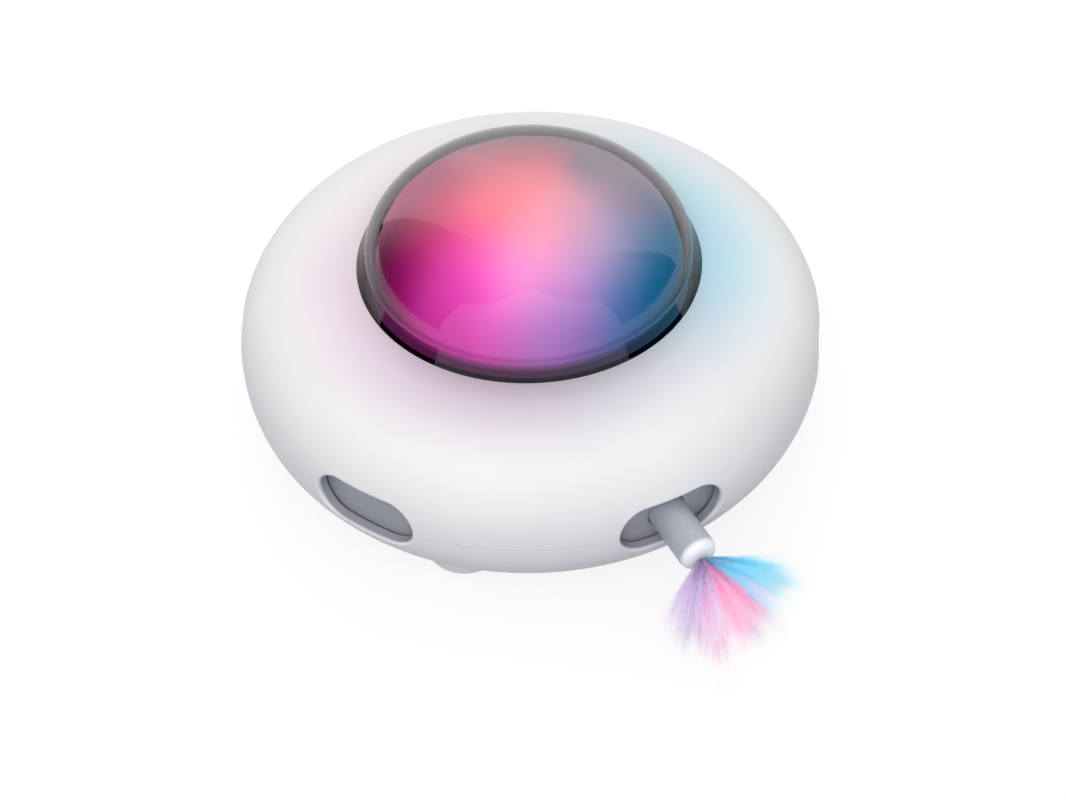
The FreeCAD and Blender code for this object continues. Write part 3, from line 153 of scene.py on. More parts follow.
# Smoked dome
SMOKE_COLOUR = (0.44, 0.39, 0.43)
SMOKE_DENSITY = 680.0
SMOKE_SHADOW = (0.8, 0.78, 0.8)
DOME_TINT = (0.98, 0.97, 0.98)
DOME_IOR = 1.4
RIM_GLOSS = 0.5
RIM_DULL = (0.62, 0.85)

# Inner parts
METAL_STREAK = (1.0, 1.0, 12.0)

# Wand
WAND_COLOUR = (0.43, 0.45, 0.51)
WAND_SHADE = (0.39, 0.41, 0.47)
# white painted on the wand's nose as the highlight on its lit end
NOSE_HIGHLIGHT = (0.93, 0.92, 0.95)
NOSE_HIGHLIGHT_SPAN = 1.4 * MM
NOSE_FADE = 1.6 * MM

# Feather: angles in degrees, with mean and scatter or least and most, and the rest as shares of lengths
SEED = 11
SECTORS = 8
DOWN_PAINTED_GLOW = 0.22
STREAK_SIZE = 0.02
STREAK_SHIFT = 0.9
ROOT_FADE = (0.45, 0.85)
TIP_FADE = (0.95, 1.5)
QUILL_WANDER = 2.5
QUILL_RISE = (1, 12)
QUILL_DROOP = (0.08, 0.2)
QUILL_SHARE = (0.5, 0.8)
HAIR_SLANT = (3, 34)
HAIR_SHARE = (0.24, 0.55)
HAIR_SWAY = 0.10
HAIR_WAVE = 0.03
QUILL_COUNT = 16
HAIR_COUNT = 4200
HAIR_STEPS = 7
HAIR_WIDTH = 0.10 * MM
ROOT_SPREAD = 0.9 * MM
FEATHERS = (
    # name, span of azimuths, length, then colours at the root, the core and the tip
    ("feather_lilac", (-52, -16), 31 * MM, (0.22, 0.12, 0.36), (0.74, 0.60, 0.84), (0.98, 0.97, 0.99)),
    ("feather_pink", (-24, 20), 34 * MM, (0.34, 0.14, 0.36), (1.0, 0.52, 0.74), (1.0, 0.92, 0.97)),
    ("feather_blue", (14, 62), 31 * MM, (0.12, 0.22, 0.46), (0.26, 0.74, 0.94), (0.80, 0.98, 1.0)),
)


def polar(radius, azimuth, z=0.0):
    """The point at that distance from the toy's axis, that azimuth and that height."""
    turn = math.radians(azimuth)
    return Vector((radius * math.sin(turn), -radius * math.cos(turn), z))


def direction(azimuth, elevation):
    """The way out from the toy at an azimuth and an elevation, one long."""
    rise = math.radians(elevation)
    return polar(math.cos(rise), azimuth, math.sin(rise))


def new_mesh_object(name, corners, faces, material):
    """A new object of that form and material, linked into the scene."""
    mesh = bpy.data.meshes.new(name)
    mesh.from_pydata(corners, [], faces)
    mesh.materials.append(material)
    made = bpy.data.objects.new(name, mesh)
    bpy.context.scene.collection.objects.link(made)
    return made


# Building materials
def blank(name):
    """A new material with its node tree and its Principled shader."""
    made = bpy.data.materials.new(name)
    made.use_nodes = True
    return made, made.node_tree, made.node_tree.nodes["Principled BSDF"]


def add(tree, kind, **settings):
    """A new node of that kind, with its settings."""
    node = tree.nodes.new(kind)
    for key, value in settings.items():
        setattr(node, key, value)
    return node


def feed(tree, value, socket):
    """Link value to the socket where it is a socket itself, or else set the socket to it."""
    if isinstance(value, bpy.types.NodeSocket):
        tree.links.new(value, socket)
    else:
        socket.default_value = value


def maths(tree, operation, *values):
    """What a Math node makes of the values, which are numbers or sockets."""
    node = add(tree, "ShaderNodeMath", operation=operation)
    for value, socket in zip(values, node.inputs):
        feed(tree, value, socket)
    return node.outputs[0]


def vectors(tree, operation, *values):
    """A Vector Math node on the values, which are vectors or sockets."""
    node = add(tree, "ShaderNodeVectorMath", operation=operation)
    for value, socket in zip(values, node.inputs):
        feed(tree, value, socket)
    return node


def scaled(tree, vector, factor):
    """The vector times the factor."""
    node = vectors(tree, "SCALE", vector)
    feed(tree, factor, node.inputs["Scale"])
    return node.outputs[0]


def place(tree):
    """The point being shaded, in metres in the toy's frame."""
    return add(tree, "ShaderNodeTexCoord").outputs["Object"]


def place_along(tree, axis):
    """The X, Y or Z of the point being shaded."""
    split = add(tree, "ShaderNodeSeparateXYZ")
    tree.links.new(place(tree), split.inputs[0])
    return split.outputs[axis]


def noise(tree, size, detail=3.0, vector=None):
    """Noise with lumps of about that size."""
    texture = add(tree, "ShaderNodeTexNoise")
    texture.inputs["Scale"].default_value = 1 / size
    texture.inputs["Detail"].default_value = detail
    tree.links.new(vector or place(tree), texture.inputs["Vector"])
    return texture.outputs["Fac"]


def spread(tree, value, low, high, start=0.3, end=0.7, curve="LINEAR"):
    """value from start to end, spread from low to high."""
    ranged = add(tree, "ShaderNodeMapRange", interpolation_type=curve)
    ranged.inputs["From Min"].default_value = start
    ranged.inputs["From Max"].default_value = end
    ranged.inputs["To Min"].default_value = low
    ranged.inputs["To Max"].default_value = high
    tree.links.new(value, ranged.inputs["Value"])
    return ranged.outputs["Result"]


def mixed(tree, factor, first, second):
    """A colour between first and second, which are colours or sockets."""
    mix = add(tree, "ShaderNodeMix", data_type="RGBA")
    tree.links.new(factor, mix.inputs["Factor"])
    for value, socket in ((first, mix.inputs[6]), (second, mix.inputs[7])):
        feed(tree, value if isinstance(value, bpy.types.NodeSocket) else (*value, 1.0), socket)
    return mix.outputs[2]


def bumped(tree, shader, height, depth):
    """Raise the shader's surface by height times depth."""
    bump = add(tree, "ShaderNodeBump")
    bump.inputs["Distance"].default_value = depth
    bump.inputs["Strength"].default_value = 1.0
    tree.links.new(height, bump.inputs["Height"])
    tree.links.new(bump.outputs["Normal"], shader.inputs["Normal"])


def moulded(name, colour, shade, roughness, grain, depth):
    """Moulded plastic: a slightly uneven colour and gloss over a fine grain."""
    made, tree, shader = blank(name)
    cloud = noise(tree, 18 * MM)
    tree.links.new(mixed(tree, spread(tree, cloud, 0, 1), shade, colour), shader.inputs["Base Color"])
    fine = noise(tree, grain)
    low, high = roughness
    tree.links.new(spread(tree, noise(tree, 6 * MM), low, high), shader.inputs["Roughness"])
    bumped(tree, shader, fine, depth)
    return made


def metal(name, colour, shade, roughness):
    """Brushed or turned metal, with streaks that lie flat round it."""
    made, tree, shader = blank(name)
    stretched = vectors(tree, "MULTIPLY", place(tree), METAL_STREAK).outputs[0]
    lines = noise(tree, 1.2 * MM, 4.0, stretched)
    tree.links.new(mixed(tree, spread(tree, lines, 0, 1), shade, colour), shader.inputs["Base Color"])
    low, high = roughness
    tree.links.new(spread(tree, lines, low, high), shader.inputs["Roughness"])
    shader.inputs["Metallic"].default_value = 1.0
    bumped(tree, shader, lines, 0.01 * MM)
    return made


# Finishes that show from outside
def height_in(tree, node, rise):
    """From 0 to 1 between two heights above a node's lowest point."""
    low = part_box(node)[0].z
    return spread(tree, place_along(tree, "Z"), 0.0, 1.0, low + rise[0], low + rise[1])


def in_plan(tree):
    """The point being shaded, seen from above."""
    return vectors(tree, "MULTIPLY", place(tree), (1.0, 1.0, 0.0)).outputs[0]


def mean_colour(tree, spots, span):
    """At each point in plan the mean of the colours of the spots within span, the nearest ones most."""
    flat = in_plan(tree)
    colour = weight = None
    for azimuth, reach, hue in spots:
        away = vectors(tree, "DISTANCE", flat, polar(reach * MM, azimuth)).outputs["Value"]
        near = spread(tree, away, 0.0, 1.0, span, 0.0, "SMOOTHERSTEP")
        part = scaled(tree, hue, near)
        if colour is None:
            colour, weight = part, near
            continue
        colour = vectors(tree, "ADD", colour, part).outputs[0]
        weight = maths(tree, "ADD", weight, near)
    return scaled(tree, colour, maths(tree, "DIVIDE", 1.0, weight))


def frosted():
    """Frosted inner dome: the lamps' light painted on it as a glow, and dark at its foot where no lamp reaches.
    """
    made, tree, shader = blank("frosted_diffuser")
    lit = mean_colour(tree, LAMP_GLOWS, GLOW_REACH)
    foot = mean_colour(tree, RIM_PAINTED_GLOW, RIM_REACH)
    above = height_in(tree, "light_diffuser", GLOW_FOOT_RISE)
    tree.links.new(mixed(tree, above, foot, lit), shader.inputs["Emission Color"])
    shader.inputs["Emission Strength"].default_value = GLOW_STRENGTH
    shader.inputs["Base Color"].default_value = (0.04, 0.035, 0.04, 1.0)
    tree.links.new(spread(tree, noise(tree, 2 * MM), 0.6, 0.75), shader.inputs["Roughness"])
    bumped(tree, shader, noise(tree, 0.6 * MM), 0.004 * MM)
    shader.inputs["Specular IOR Level"].default_value = 0.1
    return made


def seal():
    """Dark soft seal, with a little of the lamps' light painted on it as a glow."""
    made = moulded("dome_seal", (0.05, 0.045, 0.05), (0.035, 0.03, 0.035), (0.5, 0.7), 0.5 * MM, 0.02 * MM)
    tree = made.node_tree
    shader = tree.nodes["Principled BSDF"]
    tree.links.new(mean_colour(tree, RIM_PAINTED_GLOW, RIM_REACH), shader.inputs["Emission Color"])
    shader.inputs["Emission Strength"].default_value = SEAL_GLOW
    return made


def smoked():
    """Clear smoked dome: the longer the way through its wall, the darker it shows."""
    made, tree, shader = blank("smoked_dome")
    haze = spread(tree, noise(tree, 30 * MM), 0.0, 0.008)
    tree.links.new(haze, shader.inputs["Roughness"])
    shader.inputs["Base Color"].default_value = (*DOME_TINT, 1.0)
    shader.inputs["Transmission Weight"].default_value = 1.0
    shader.inputs["IOR"].default_value = DOME_IOR
    rim = add(tree, "ShaderNodeLayerWeight")
    gloss = spread(tree, rim.outputs["Facing"], RIM_GLOSS, 0.0, *RIM_DULL)
    tree.links.new(gloss, shader.inputs["Specular IOR Level"])
    smoke = add(tree, "ShaderNodeVolumeAbsorption")
    smoke.inputs["Color"].default_value = (*SMOKE_COLOUR, 1.0)
    smoke.inputs["Density"].default_value = SMOKE_DENSITY
    tree.links.new(smoke.outputs[0], tree.nodes["Material Output"].inputs["Volume"])
    path = add(tree, "ShaderNodeLightPath")
    clear = add(tree, "ShaderNodeBsdfTransparent")
    clear.inputs["Color"].default_value = (*SMOKE_SHADOW, 1.0)
    both = add(tree, "ShaderNodeMixShader")
    tree.links.new(path.outputs["Is Shadow Ray"], both.inputs[0])
    tree.links.new(shader.outputs[0], both.inputs[1])
    tree.links.new(clear.outputs[0], both.inputs[2])
    tree.links.new(both.outputs[0], tree.nodes["Material Output"].inputs["Surface"])
    return made


def circuit():
    """Green circuit board with a fine maze of copper tracks under its lacquer."""
    made, tree, shader = blank("circuit_board")
    cells = add(tree, "ShaderNodeTexVoronoi", feature="DISTANCE_TO_EDGE", distance="MANHATTAN")
    cells.inputs["Scale"].default_value = 1 / (3 * MM)
    tree.links.new(place(tree), cells.inputs["Vector"])
    track = spread(tree, cells.outputs["Distance"], 1, 0, 0.04, 0.07)
    board = mixed(tree, spread(tree, noise(tree, 9 * MM), 0, 1), (0.01, 0.10, 0.05), (0.015, 0.14, 0.07))
    tree.links.new(mixed(tree, track, board, (0.05, 0.26, 0.12)), shader.inputs["Base Color"])
    tree.links.new(spread(tree, noise(tree, 2 * MM), 0.25, 0.4), shader.inputs["Roughness"])
    bumped(tree, shader, track, 0.03 * MM)
    return made


def lens():
    """Lamp package: a white lit body with a warm die in it."""
    made, tree, shader = blank("lamp_lens")
    glow = mixed(tree, spread(tree, noise(tree, 2 * MM), 0, 1), (1.0, 0.85, 0.8), (0.9, 0.9, 1.0))
    tree.links.new(glow, shader.inputs["Emission Color"])
    tree.links.new(glow, shader.inputs["Base Color"])
    shader.inputs["Emission Strength"].default_value = 0.6
    shader.inputs["Roughness"].default_value = 0.25
    return made


def foam():
    """Open foam of the sticky tape under the cell, with shade painted dark in its pores."""
    made, tree, shader = blank("foam_tape")
    pores = add(tree, "ShaderNodeTexVoronoi")
    pores.inputs["Scale"].default_value = 1 / (0.7 * MM)
    tree.links.new(place(tree), pores.inputs["Vector"])
    hollow = spread(tree, pores.outputs["Distance"], 0, 1, 0.1, 0.6)
    # painted shade: darker down in the pores
    tree.links.new(mixed(tree, hollow, (0.45, 0.44, 0.42), (0.75, 0.74, 0.7)), shader.inputs["Base Color"])
    shader.inputs["Roughness"].default_value = 0.9
    bumped(tree, shader, hollow, 0.15 * MM)
    return made


def foil():
    """Crinkled wrap of the cell, with shade painted dark down in its creases."""
    made, tree, shader = blank("cell_wrap")
    crease = noise(tree, 4 * MM, 5.0)
    # painted shade: darker down in the creases
    tree.links.new(mixed(tree, crease, (0.42, 0.43, 0.45), (0.62, 0.63, 0.66)), shader.inputs["Base Color"])
    tree.links.new(spread(tree, crease, 0.22, 0.4), shader.inputs["Roughness"])
    shader.inputs["Metallic"].default_value = 0.8
    bumped(tree, shader, crease, 0.12 * MM)
    return made


def insulation():
    """Soft black jackets of the leads."""
    made, tree, shader = blank("lead_jacket")
    tone = spread(tree, noise(tree, 3 * MM), 0, 1)
    tree.links.new(mixed(tree, tone, (0.03, 0.03, 0.03), (0.06, 0.055, 0.055)), shader.inputs["Base Color"])
    shader.inputs["Roughness"].default_value = 0.42
    bumped(tree, shader, noise(tree, 0.8 * MM), 0.02 * MM)
    return made


def window_shade_mask(tree, away):
    """Where shade is painted in the windows: 1 on the edges of the windows' walls, inside the casing's skin,
    and 0 on the skin.
    """
    height = maths(tree, "ABSOLUTE", maths(tree, "SUBTRACT", place_along(tree, "Z"), wand_nose().z))
    level = spread(tree, height, 1.0, 0.0, *REVEAL_HEIGHT)
    inside = spread(tree, away, 1.0, 0.0, *REVEAL_RADIUS)
    return maths(tree, "MULTIPLY", level, inside)


def casing_white():
    """Satin white shell: a faint ripple, fine handling marks, the lamps' glow and the shade round the dome's
    foot painted into its colour beside the dome, and shade painted on the windows' walls.
    """
    made, tree, shader = blank("shell_white")
    cloud = noise(tree, 40 * MM, 2.0)
    white = mixed(tree, spread(tree, cloud, 0, 1), SHELL_SHADE, SHELL_WHITE)
    away = vectors(tree, "LENGTH", in_plan(tree)).outputs["Value"]
    # painted glow and shade near the dome, fading out to the plain white further away
    plain = spread(tree, away, 0.0, 1.0, *GLOW_AND_SHADE_EDGE, "SMOOTHSTEP")
    skin = mixed(tree, plain, mean_colour(tree, PAINTED_GLOW_AND_SHADE, GLOW_AND_SHADE_REACH), white)
    # painted shade: the windows' walls take a dark grey
    colour = mixed(tree, window_shade_mask(tree, away), skin, REVEAL_SHADE)
    tree.links.new(colour, shader.inputs["Base Color"])
    marks = noise(tree, 1.5 * MM, 6.0)
    tree.links.new(spread(tree, marks, 0.40, 0.48), shader.inputs["Roughness"])
    bumped(tree, shader, noise(tree, 5 * MM, 1.0), 0.02 * MM)
    shader.inputs["Coat Weight"].default_value = SHELL_COAT
    shader.inputs["Coat Roughness"].default_value = 0.2
    shader.inputs["Specular IOR Level"].default_value = 0.15
    return made


def wand_grey():
    """Light grey wand, with a highlight painted in white on its nose."""
    made = moulded("wand_grey", WAND_COLOUR, WAND_SHADE, (0.28, 0.38), 0.7 * MM, 0.012 * MM)
    tree = made.node_tree
    shader = tree.nodes["Principled BSDF"]
    nose_end = wand_nose().y + NOSE_HIGHLIGHT_SPAN
    grey = shader.inputs["Base Color"].links[0].from_socket
    body = spread(tree, place_along(tree, "Y"), 0.0, 1.0, nose_end, nose_end + NOSE_FADE)
    # painted highlight: the nose turns white
    tree.links.new(mixed(tree, body, NOSE_HIGHLIGHT, grey), shader.inputs["Base Color"])
    return made


def down(name, root, core, tip, length):
    """Dyed down, darker towards the quill, its own colour along the barbs, pale at their ends, in streaks, with
    a faint glow of that colour painted on.
    """
    made, tree, shader = blank(name)
    away = vectors(tree, "SUBTRACT", place(tree), wand_nose()).outputs[0]
    reach = vectors(tree, "LENGTH", away).outputs["Value"]
    streak = noise(tree, STREAK_SIZE, 2.0, vectors(tree, "NORMALIZE", away).outputs[0])
    shifted = maths(tree, "MULTIPLY_ADD", streak, length * STREAK_SHIFT, reach)
    inner = spread(tree, shifted, 0, 1, *(length * share for share in ROOT_FADE))
    outer = spread(tree, shifted, 0, 1, *(length * share for share in TIP_FADE))
    dye = mixed(tree, outer, mixed(tree, inner, root, core), tip)
    tree.links.new(dye, shader.inputs["Base Color"])
    # painted glow: the down shines faintly in its own colour
    tree.links.new(dye, shader.inputs["Emission Color"])
    shader.inputs["Emission Strength"].default_value = DOWN_PAINTED_GLOW
    tree.links.new(spread(tree, streak, 0.5, 0.75), shader.inputs["Roughness"])
    shader.inputs["Sheen Weight"].default_value = 0.35
    shader.inputs["Sheen Roughness"].default_value = 0.4
    shader.inputs["Specular IOR Level"].default_value = 0.25
    return made


# The feather's form
def wand_nose():
    """Middle of the wand's end face, where the quills come out."""
    low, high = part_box("wand_rod")
    centre = (low + high) / 2
    return Vector((centre.x, low.y, centre.z))


def unit(rows):
    """The rows, each made one long."""
    return rows / np.linalg.norm(rows, axis=-1, keepdims=True)


def across(rows):
    """Two directions square to each row and to each other."""
    first = unit(np.cross(rows, (0.3, 0.1, 1.0)))
    return first, np.cross(rows, first)


def quills(chance, span, length):
    """Roots, headings, droops and lengths of the quills, fanned in plan out of the wand's nose."""
    plan = np.radians(np.linspace(*span, QUILL_COUNT) + chance.normal(0, QUILL_WANDER, QUILL_COUNT))
    rise = np.radians(chance.normal(*QUILL_RISE, QUILL_COUNT))
    heading = np.stack([np.sin(plan) * np.cos(rise), -np.cos(plan) * np.cos(rise), np.sin(rise)], 1)
    root = np.array(wand_nose()) + chance.normal(0, 0.5, (QUILL_COUNT, 3)) * (ROOT_SPREAD, 0, ROOT_SPREAD)
    reach = length * chance.uniform(*QUILL_SHARE, QUILL_COUNT)
    droop = np.outer(reach * chance.uniform(*QUILL_DROOP, QUILL_COUNT), (0, 0, -1.0))
    return root, heading, droop, reach


def down_lines(chance, span, length):
    """Points along each hair: it leaves its quill at a slant, bends along it and ends in a soft wave."""
    root, heading, droop, reach = quills(chance, span, length)
    held = chance.integers(0, QUILL_COUNT, HAIR_COUNT)
    share = chance.uniform(0, 1, (HAIR_COUNT, 1)) ** 1.5 * 0.9
    quill = (heading * reach[:, None])[held]
    start = root[held] + quill * share + droop[held] * share ** 2
    forward = unit(quill + 2 * droop[held] * share)
    one, other = across(forward)
    turn = chance.uniform(0, 2 * np.pi, (HAIR_COUNT, 1))
    side = one * np.cos(turn) + other * np.sin(turn)
    slant = np.radians(chance.uniform(*HAIR_SLANT, (HAIR_COUNT, 1))) * (0.35 + 0.65 * share)
    run = length * chance.uniform(*HAIR_SHARE, (HAIR_COUNT, 1)) * (1.15 - 0.55 * share)
    away = forward * np.cos(slant) + side * np.sin(slant)
    bend = (forward * 0.3 - side * 0.16 + np.array((0, 0, -0.14))) * run
    sway = np.cross(side, forward) * run * chance.normal(0, HAIR_SWAY, (HAIR_COUNT, 1))
    wave = side * run * chance.normal(0, HAIR_WAVE, (HAIR_COUNT, 1))
    steps = np.linspace(0, 1, HAIR_STEPS)
    points = [start + away * run * s + bend * s * s + sway * s ** 3 + wave * np.sin(9 * s) * s for s in steps]
    return np.stack(points, 1)


def strands(chance, lines):
    """Corners and faces of thin three-sided hairs along the lines, each drawn out to a point."""
    count, steps = lines.shape[:2]
    one, other = across(unit(lines[:, -1] - lines[:, 0]))
    thick = HAIR_WIDTH / 2 * chance.uniform(0.6, 1.4, (count, 1, 1, 1))
    taper = (1 - 0.8 * np.linspace(0, 1, steps)[: steps - 1]).reshape(1, -1, 1, 1)
    turns = np.arange(3) * 2 * np.pi / 3
    rim = (one[:, None] * np.cos(turns)[None, :, None] + other[:, None] * np.sin(turns)[None, :, None])
    rings = lines[:, :-1, None] + rim[:, None] * thick * taper
    corners = np.concatenate([rings.reshape(count, -1, 3), lines[:, -1:]], 1)
    tip = 3 * (steps - 1)
    faces = [(2, 1, 0)]
    for low in range(0, tip - 3, 3):
        faces += [(low + c, low + (c + 1) % 3, low + 3 + (c + 1) % 3, low + 3 + c) for c in range(3)]
    faces += [(tip - 3 + c, tip - 3 + (c + 1) % 3, tip) for c in range(3)]
    firsts = range(0, count * (tip + 1), tip + 1)
    every = [tuple(first + c for c in face) for first in firsts for face in faces]
    return corners.reshape(-1, 3).tolist(), every


def feather(chance, node, span, length, material):
    """One dyed feather, in slices by angle round the wand's nose, each carried by the wand."""
    lines = down_lines(chance, span, length)
    off = lines[:, HAIR_STEPS * 2 // 3] - np.array(wand_nose())
    turns = np.arctan2(off[:, 2], off[:, 0]) % (2 * np.pi) / (2 * np.pi)
    sectors = (turns * SECTORS).astype(int)
    for sector in range(SECTORS):
        if not (sectors == sector).any():
            continue
        corners, faces = strands(chance, lines[sectors == sector])
        tuft = new_mesh_object(f"{node}_{sector}", corners, faces, material)
        tuft.data.shade_smooth()
        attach(tuft, "wand")
        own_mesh(tuft)
        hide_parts(node)


# Finishes of the CAD nodes
def finishes():
    """Each material and the nodes that wear it."""
    return (
        (casing_white(), ("upper_shell", "lower_shell")),
        (moulded("foot_rubber", (0.66, 0.66, 0.67), (0.58, 0.58, 0.60), (0.6, 0.8), 0.4 * MM, 0.03 * MM),
         ("rubber_feet",)),
        (smoked(), ("dome_cover",)),
        (seal(), ("dome_seal",)),
        (frosted(), ("light_diffuser",)),
        (moulded("inner_plastic", (0.62, 0.62, 0.60), (0.56, 0.56, 0.55), (0.45, 0.6), 0.5 * MM, 0.02 * MM),
         ("turntable", "rack_keeper", "slide_ring", "wand_guide")),
        (moulded("deck_dark", (0.05, 0.04, 0.055), (0.04, 0.03, 0.045), (0.5, 0.65), 0.5 * MM, 0.02 * MM),
         ("light_deck",)),
        (circuit(), ("led_board", "main_board")),
        (lens(), ("leds",)),
        (metal("screw_steel", (0.62, 0.62, 0.64), (0.50, 0.50, 0.52), (0.22, 0.4)),
         ("deck_screws", "led_screws", "board_screws", "gearbox_screws", "ring_screws",
          "keeper_screws", "drum_screws", "guide_screws", "gear_screw")),
        (moulded("connector", (0.80, 0.78, 0.70), (0.72, 0.70, 0.62), (0.35, 0.5), 0.4 * MM, 0.02 * MM),
         ("deck_connector", "board_connector")),
        (foil(), ("battery_cell",)),
        (foam(), ("battery_tape",)),
        (moulded("chip_black", (0.022, 0.022, 0.024), (0.015, 0.015, 0.017), (0.4, 0.6), 0.3 * MM, 0.02 * MM),
         ("board_chips",)),
        (metal("socket_steel", (0.66, 0.66, 0.67), (0.55, 0.55, 0.56), (0.2, 0.35)), ("charging_socket",)),
        (moulded("switch_black", (0.03, 0.03, 0.032), (0.02, 0.02, 0.022), (0.35, 0.5), 0.4 * MM, 0.02 * MM),
         ("power_switch",)),
        (moulded("button_grey", (0.46, 0.47, 0.49), (0.42, 0.43, 0.45), (0.3, 0.42), 0.5 * MM, 0.015 * MM),
         ("power_button",)),
        (moulded("gearbox_plastic", (0.10, 0.11, 0.12), (0.08, 0.085, 0.09), (0.4, 0.55),
                 0.5 * MM, 0.02 * MM),
         ("gearbox_case", "gearbox_cover", "motor_cap")),
        (metal("motor_steel", (0.58, 0.58, 0.60), (0.46, 0.46, 0.48), (0.25, 0.4)),
         ("motor_can", "output_shaft")),
        (insulation(), ("motor_leads", "power_leads", "light_lead")),
        (moulded("gear_plastic", (0.80, 0.79, 0.74), (0.74, 0.73, 0.68), (0.35, 0.5), 0.5 * MM, 0.015 * MM),
         ("sun_gear", "wand_carriage")),
        (moulded("drum_grey", (0.34, 0.35, 0.39), (0.31, 0.32, 0.36), (0.4, 0.5), 0.6 * MM, 0.012 * MM),
         ("drum",)),
        (wand_grey(), ("wand_rod",)),
        (moulded("plug_white", (0.8, 0.8, 0.8), (0.7, 0.7, 0.7), (0.4, 0.5), 0.4 * MM, 0.02 * MM),
         ("feather_plug",)),
    )


def dress(material, names):
    """Put the material on every slot of the named nodes."""
    for name in names:
        for held in NODES[name].material_slots:
            held.material = material


# Stage
def rays_that_show(tree):
    """1 for what is seen straight, in gloss and through clear parts, and 0 for light on the toy."""
    path = add(tree, "ShaderNodeLightPath")
    straight = maths(tree, "MAXIMUM", path.outputs["Is Camera Ray"], path.outputs["Is Glossy Ray"])
    return maths(tree, "MAXIMUM", straight, path.outputs["Is Transmission Ray"])


def white_floor():
    """Pale floor that shows white, and keeps a soft shadow of the toy."""
    made, tree, shader = blank("floor_white")
    shader.inputs["Roughness"].default_value = 0.9
    shader.inputs["Specular IOR Level"].default_value = 0.0
    shown = rays_that_show(tree)
    tree.links.new(mixed(tree, shown, FLOOR_BOUNCE, FLOOR_COLOUR), shader.inputs["Base Color"])
    white = add(tree, "ShaderNodeEmission")
    white.inputs["Strength"].default_value = FLOOR_GLOW
    both = add(tree, "ShaderNodeMixShader")
    tree.links.new(maths(tree, "MULTIPLY", shown, FLOOR_SHARE), both.inputs[0])
    tree.links.new(shader.outputs[0], both.inputs[1])
    tree.links.new(white.outputs[0], both.inputs[2])
    tree.links.new(both.outputs[0], tree.nodes["Material Output"].inputs["Surface"])
    corners = [(x * FLOOR_REACH, y * FLOOR_REACH, 0) for x, y in ((-1, -1), (1, -1), (1, 1), (-1, 1))]
    floor = new_mesh_object("floor", corners, [(0, 1, 2, 3)], made)


def studio_world():
    """White to the eye and in reflections, and a dimmer even fill on the toy."""
    world = bpy.data.worlds.new("studio")
    world.use_nodes = True
    bpy.context.scene.world = world
    tree = world.node_tree
    background = tree.nodes["Background"]
    shown = rays_that_show(tree)
    tree.links.new(spread(tree, shown, FILL_STRENGTH, 1.0, 0.0, 1.0), background.inputs["Strength"])
    tree.links.new(mixed(tree, shown, FILL_COLOUR, (1.0, 1.0, 1.0)), background.inputs["Color"])


def hood_point(angle, rise):
    """Point on the hood at an angle from the camera's far side and an elevation."""
    return direction(VIEW_AZIMUTH + 180 + angle, rise) * HOOD_DISTANCE


def hood(name, start, end, lower_edge, material):
    """Part of a hood round the toy that only its gloss shows, from a lower edge up to the top."""
    around, up = HOOD_STEPS
    corners = []
    for step in range(around + 1):
        angle = start + (end - start) * step / around
        low = lower_edge(angle)
        corners += [hood_point(angle, low + (HOOD_TOP - low) * rise / up) for rise in range(up + 1)]
    faces = []
    for step in range(around):
        first, after = step * (up + 1), (step + 1) * (up + 1)
        faces += [(first + r, after + r, after + r + 1, first + r + 1) for r in range(up)]
    card = new_mesh_object(name, corners, faces, material)
    card.visible_camera = False
    card.visible_diffuse = False
    card.visible_shadow = False


def hood_black():
    """Dull black that shows nothing of its own."""
    made, tree, shader = blank("hood_black")
    shader.inputs["Base Color"].default_value = (0.01, 0.01, 0.01, 1.0)
    shader.inputs["Roughness"].default_value = 1.0
    shader.inputs["Specular IOR Level"].default_value = 0.0
    return made


def hood_fading():
    """White low down, and fading to black towards the top."""
    made, tree, shader = blank("hood_fading")
    low, high = (HOOD_DISTANCE * math.sin(math.radians(rise)) for rise in HOOD_FADE)
    fade = spread(tree, place_along(tree, "Z"), 1.0, 0.0, low, high, "SMOOTHSTEP")
    shader.inputs["Base Color"].default_value = (0.0, 0.0, 0.0, 1.0)
    shader.inputs["Specular IOR Level"].default_value = 0.0
    shader.inputs["Emission Color"].default_value = (1.0, 1.0, 1.0, 1.0)
    tree.links.new(fade, shader.inputs["Emission Strength"])
    return made


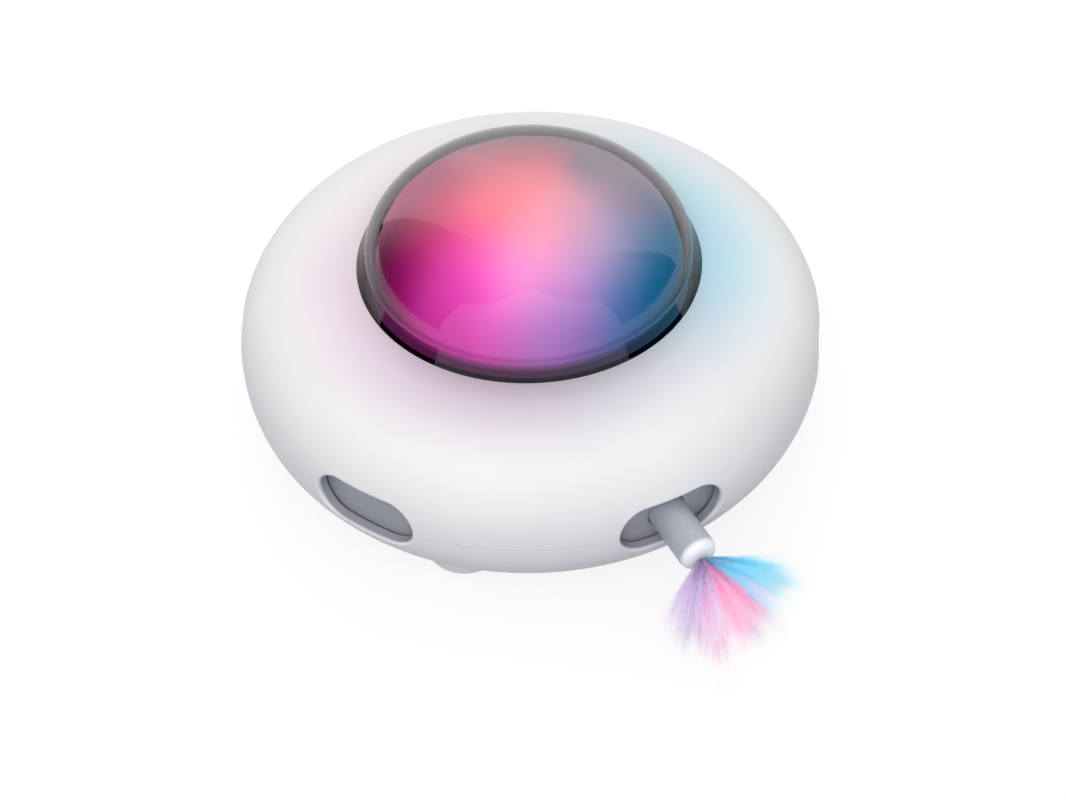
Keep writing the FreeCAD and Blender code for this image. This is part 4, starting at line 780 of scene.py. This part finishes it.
def front_edge(angle):
    """Upper edge of the bright stage in front, which the hood starts from."""
    return HOOD_SIDE + (HOOD_MIDDLE - HOOD_SIDE) * math.cos(math.pi / 2 * (angle - 180) / HOOD_FRONT)


def softbox(name, angle, elevation, distance, size, power):
    """Square soft lamp aimed at the toy, at an angle round it from the camera's side."""
    lamp = bpy.data.lights.new(name, "AREA")
    lamp.size = size
    lamp.energy = power
    made = bpy.data.objects.new(name, lamp)
    towards = direction(VIEW_AZIMUTH + angle, elevation)
    made.location = towards * distance
    made.rotation_mode = "QUATERNION"
    made.rotation_quaternion = (-towards).to_track_quat("-Z", "Y")
    made.visible_glossy = False
    made.visible_transmission = False
    bpy.context.scene.collection.objects.link(made)


def camera():
    """The camera that took the photo, as fitted to it."""
    lens_data = bpy.data.cameras.new("camera")
    lens_data.lens = LENS
    lens_data.sensor_width = SENSOR
    lens_data.clip_start, lens_data.clip_end = CLIP
    made = bpy.data.objects.new("camera", lens_data)
    back = direction(VIEW_AZIMUTH, VIEW_ELEVATION)
    made.location = Vector((0, 0, VIEW_AIM_Z)) + back * VIEW_DISTANCE
    made.rotation_mode = "QUATERNION"
    made.rotation_quaternion = (-back).to_track_quat("-Z", "Y")
    made.rotation_quaternion.rotate(Matrix.Rotation(math.radians(VIEW_ROLL), 3, back))
    bpy.context.scene.collection.objects.link(made)
    bpy.context.scene.camera = made


camera()
for material, names in finishes():
    dress(material, names)
chance = np.random.default_rng(SEED)
for node, span, length, root, core, tip in FEATHERS:
    feather(chance, node, span, length, down(f"{node}_down", root, core, tip, length))
white_floor()
studio_world()
black = hood_black()
hood("hood_left", HOOD_LEFT, 180 - HOOD_FRONT, lambda angle: HOOD_FOOT, black)
hood("hood_right", 180 + HOOD_FRONT, HOOD_RIGHT, lambda angle: HOOD_FOOT, black)
hood("hood_front", 180 - HOOD_FRONT, 180 + HOOD_FRONT, front_edge, black)
hood("hood_far", HOOD_RIGHT - 360, HOOD_LEFT, lambda angle: HOOD_FADE[0], hood_fading())
softbox("key", -6, 42, 1.3, 0.9, 6.8)
softbox("back", 185, 50, 1.4, 0.8, 4.0)
bpy.context.scene.view_settings.view_transform = "Standard"
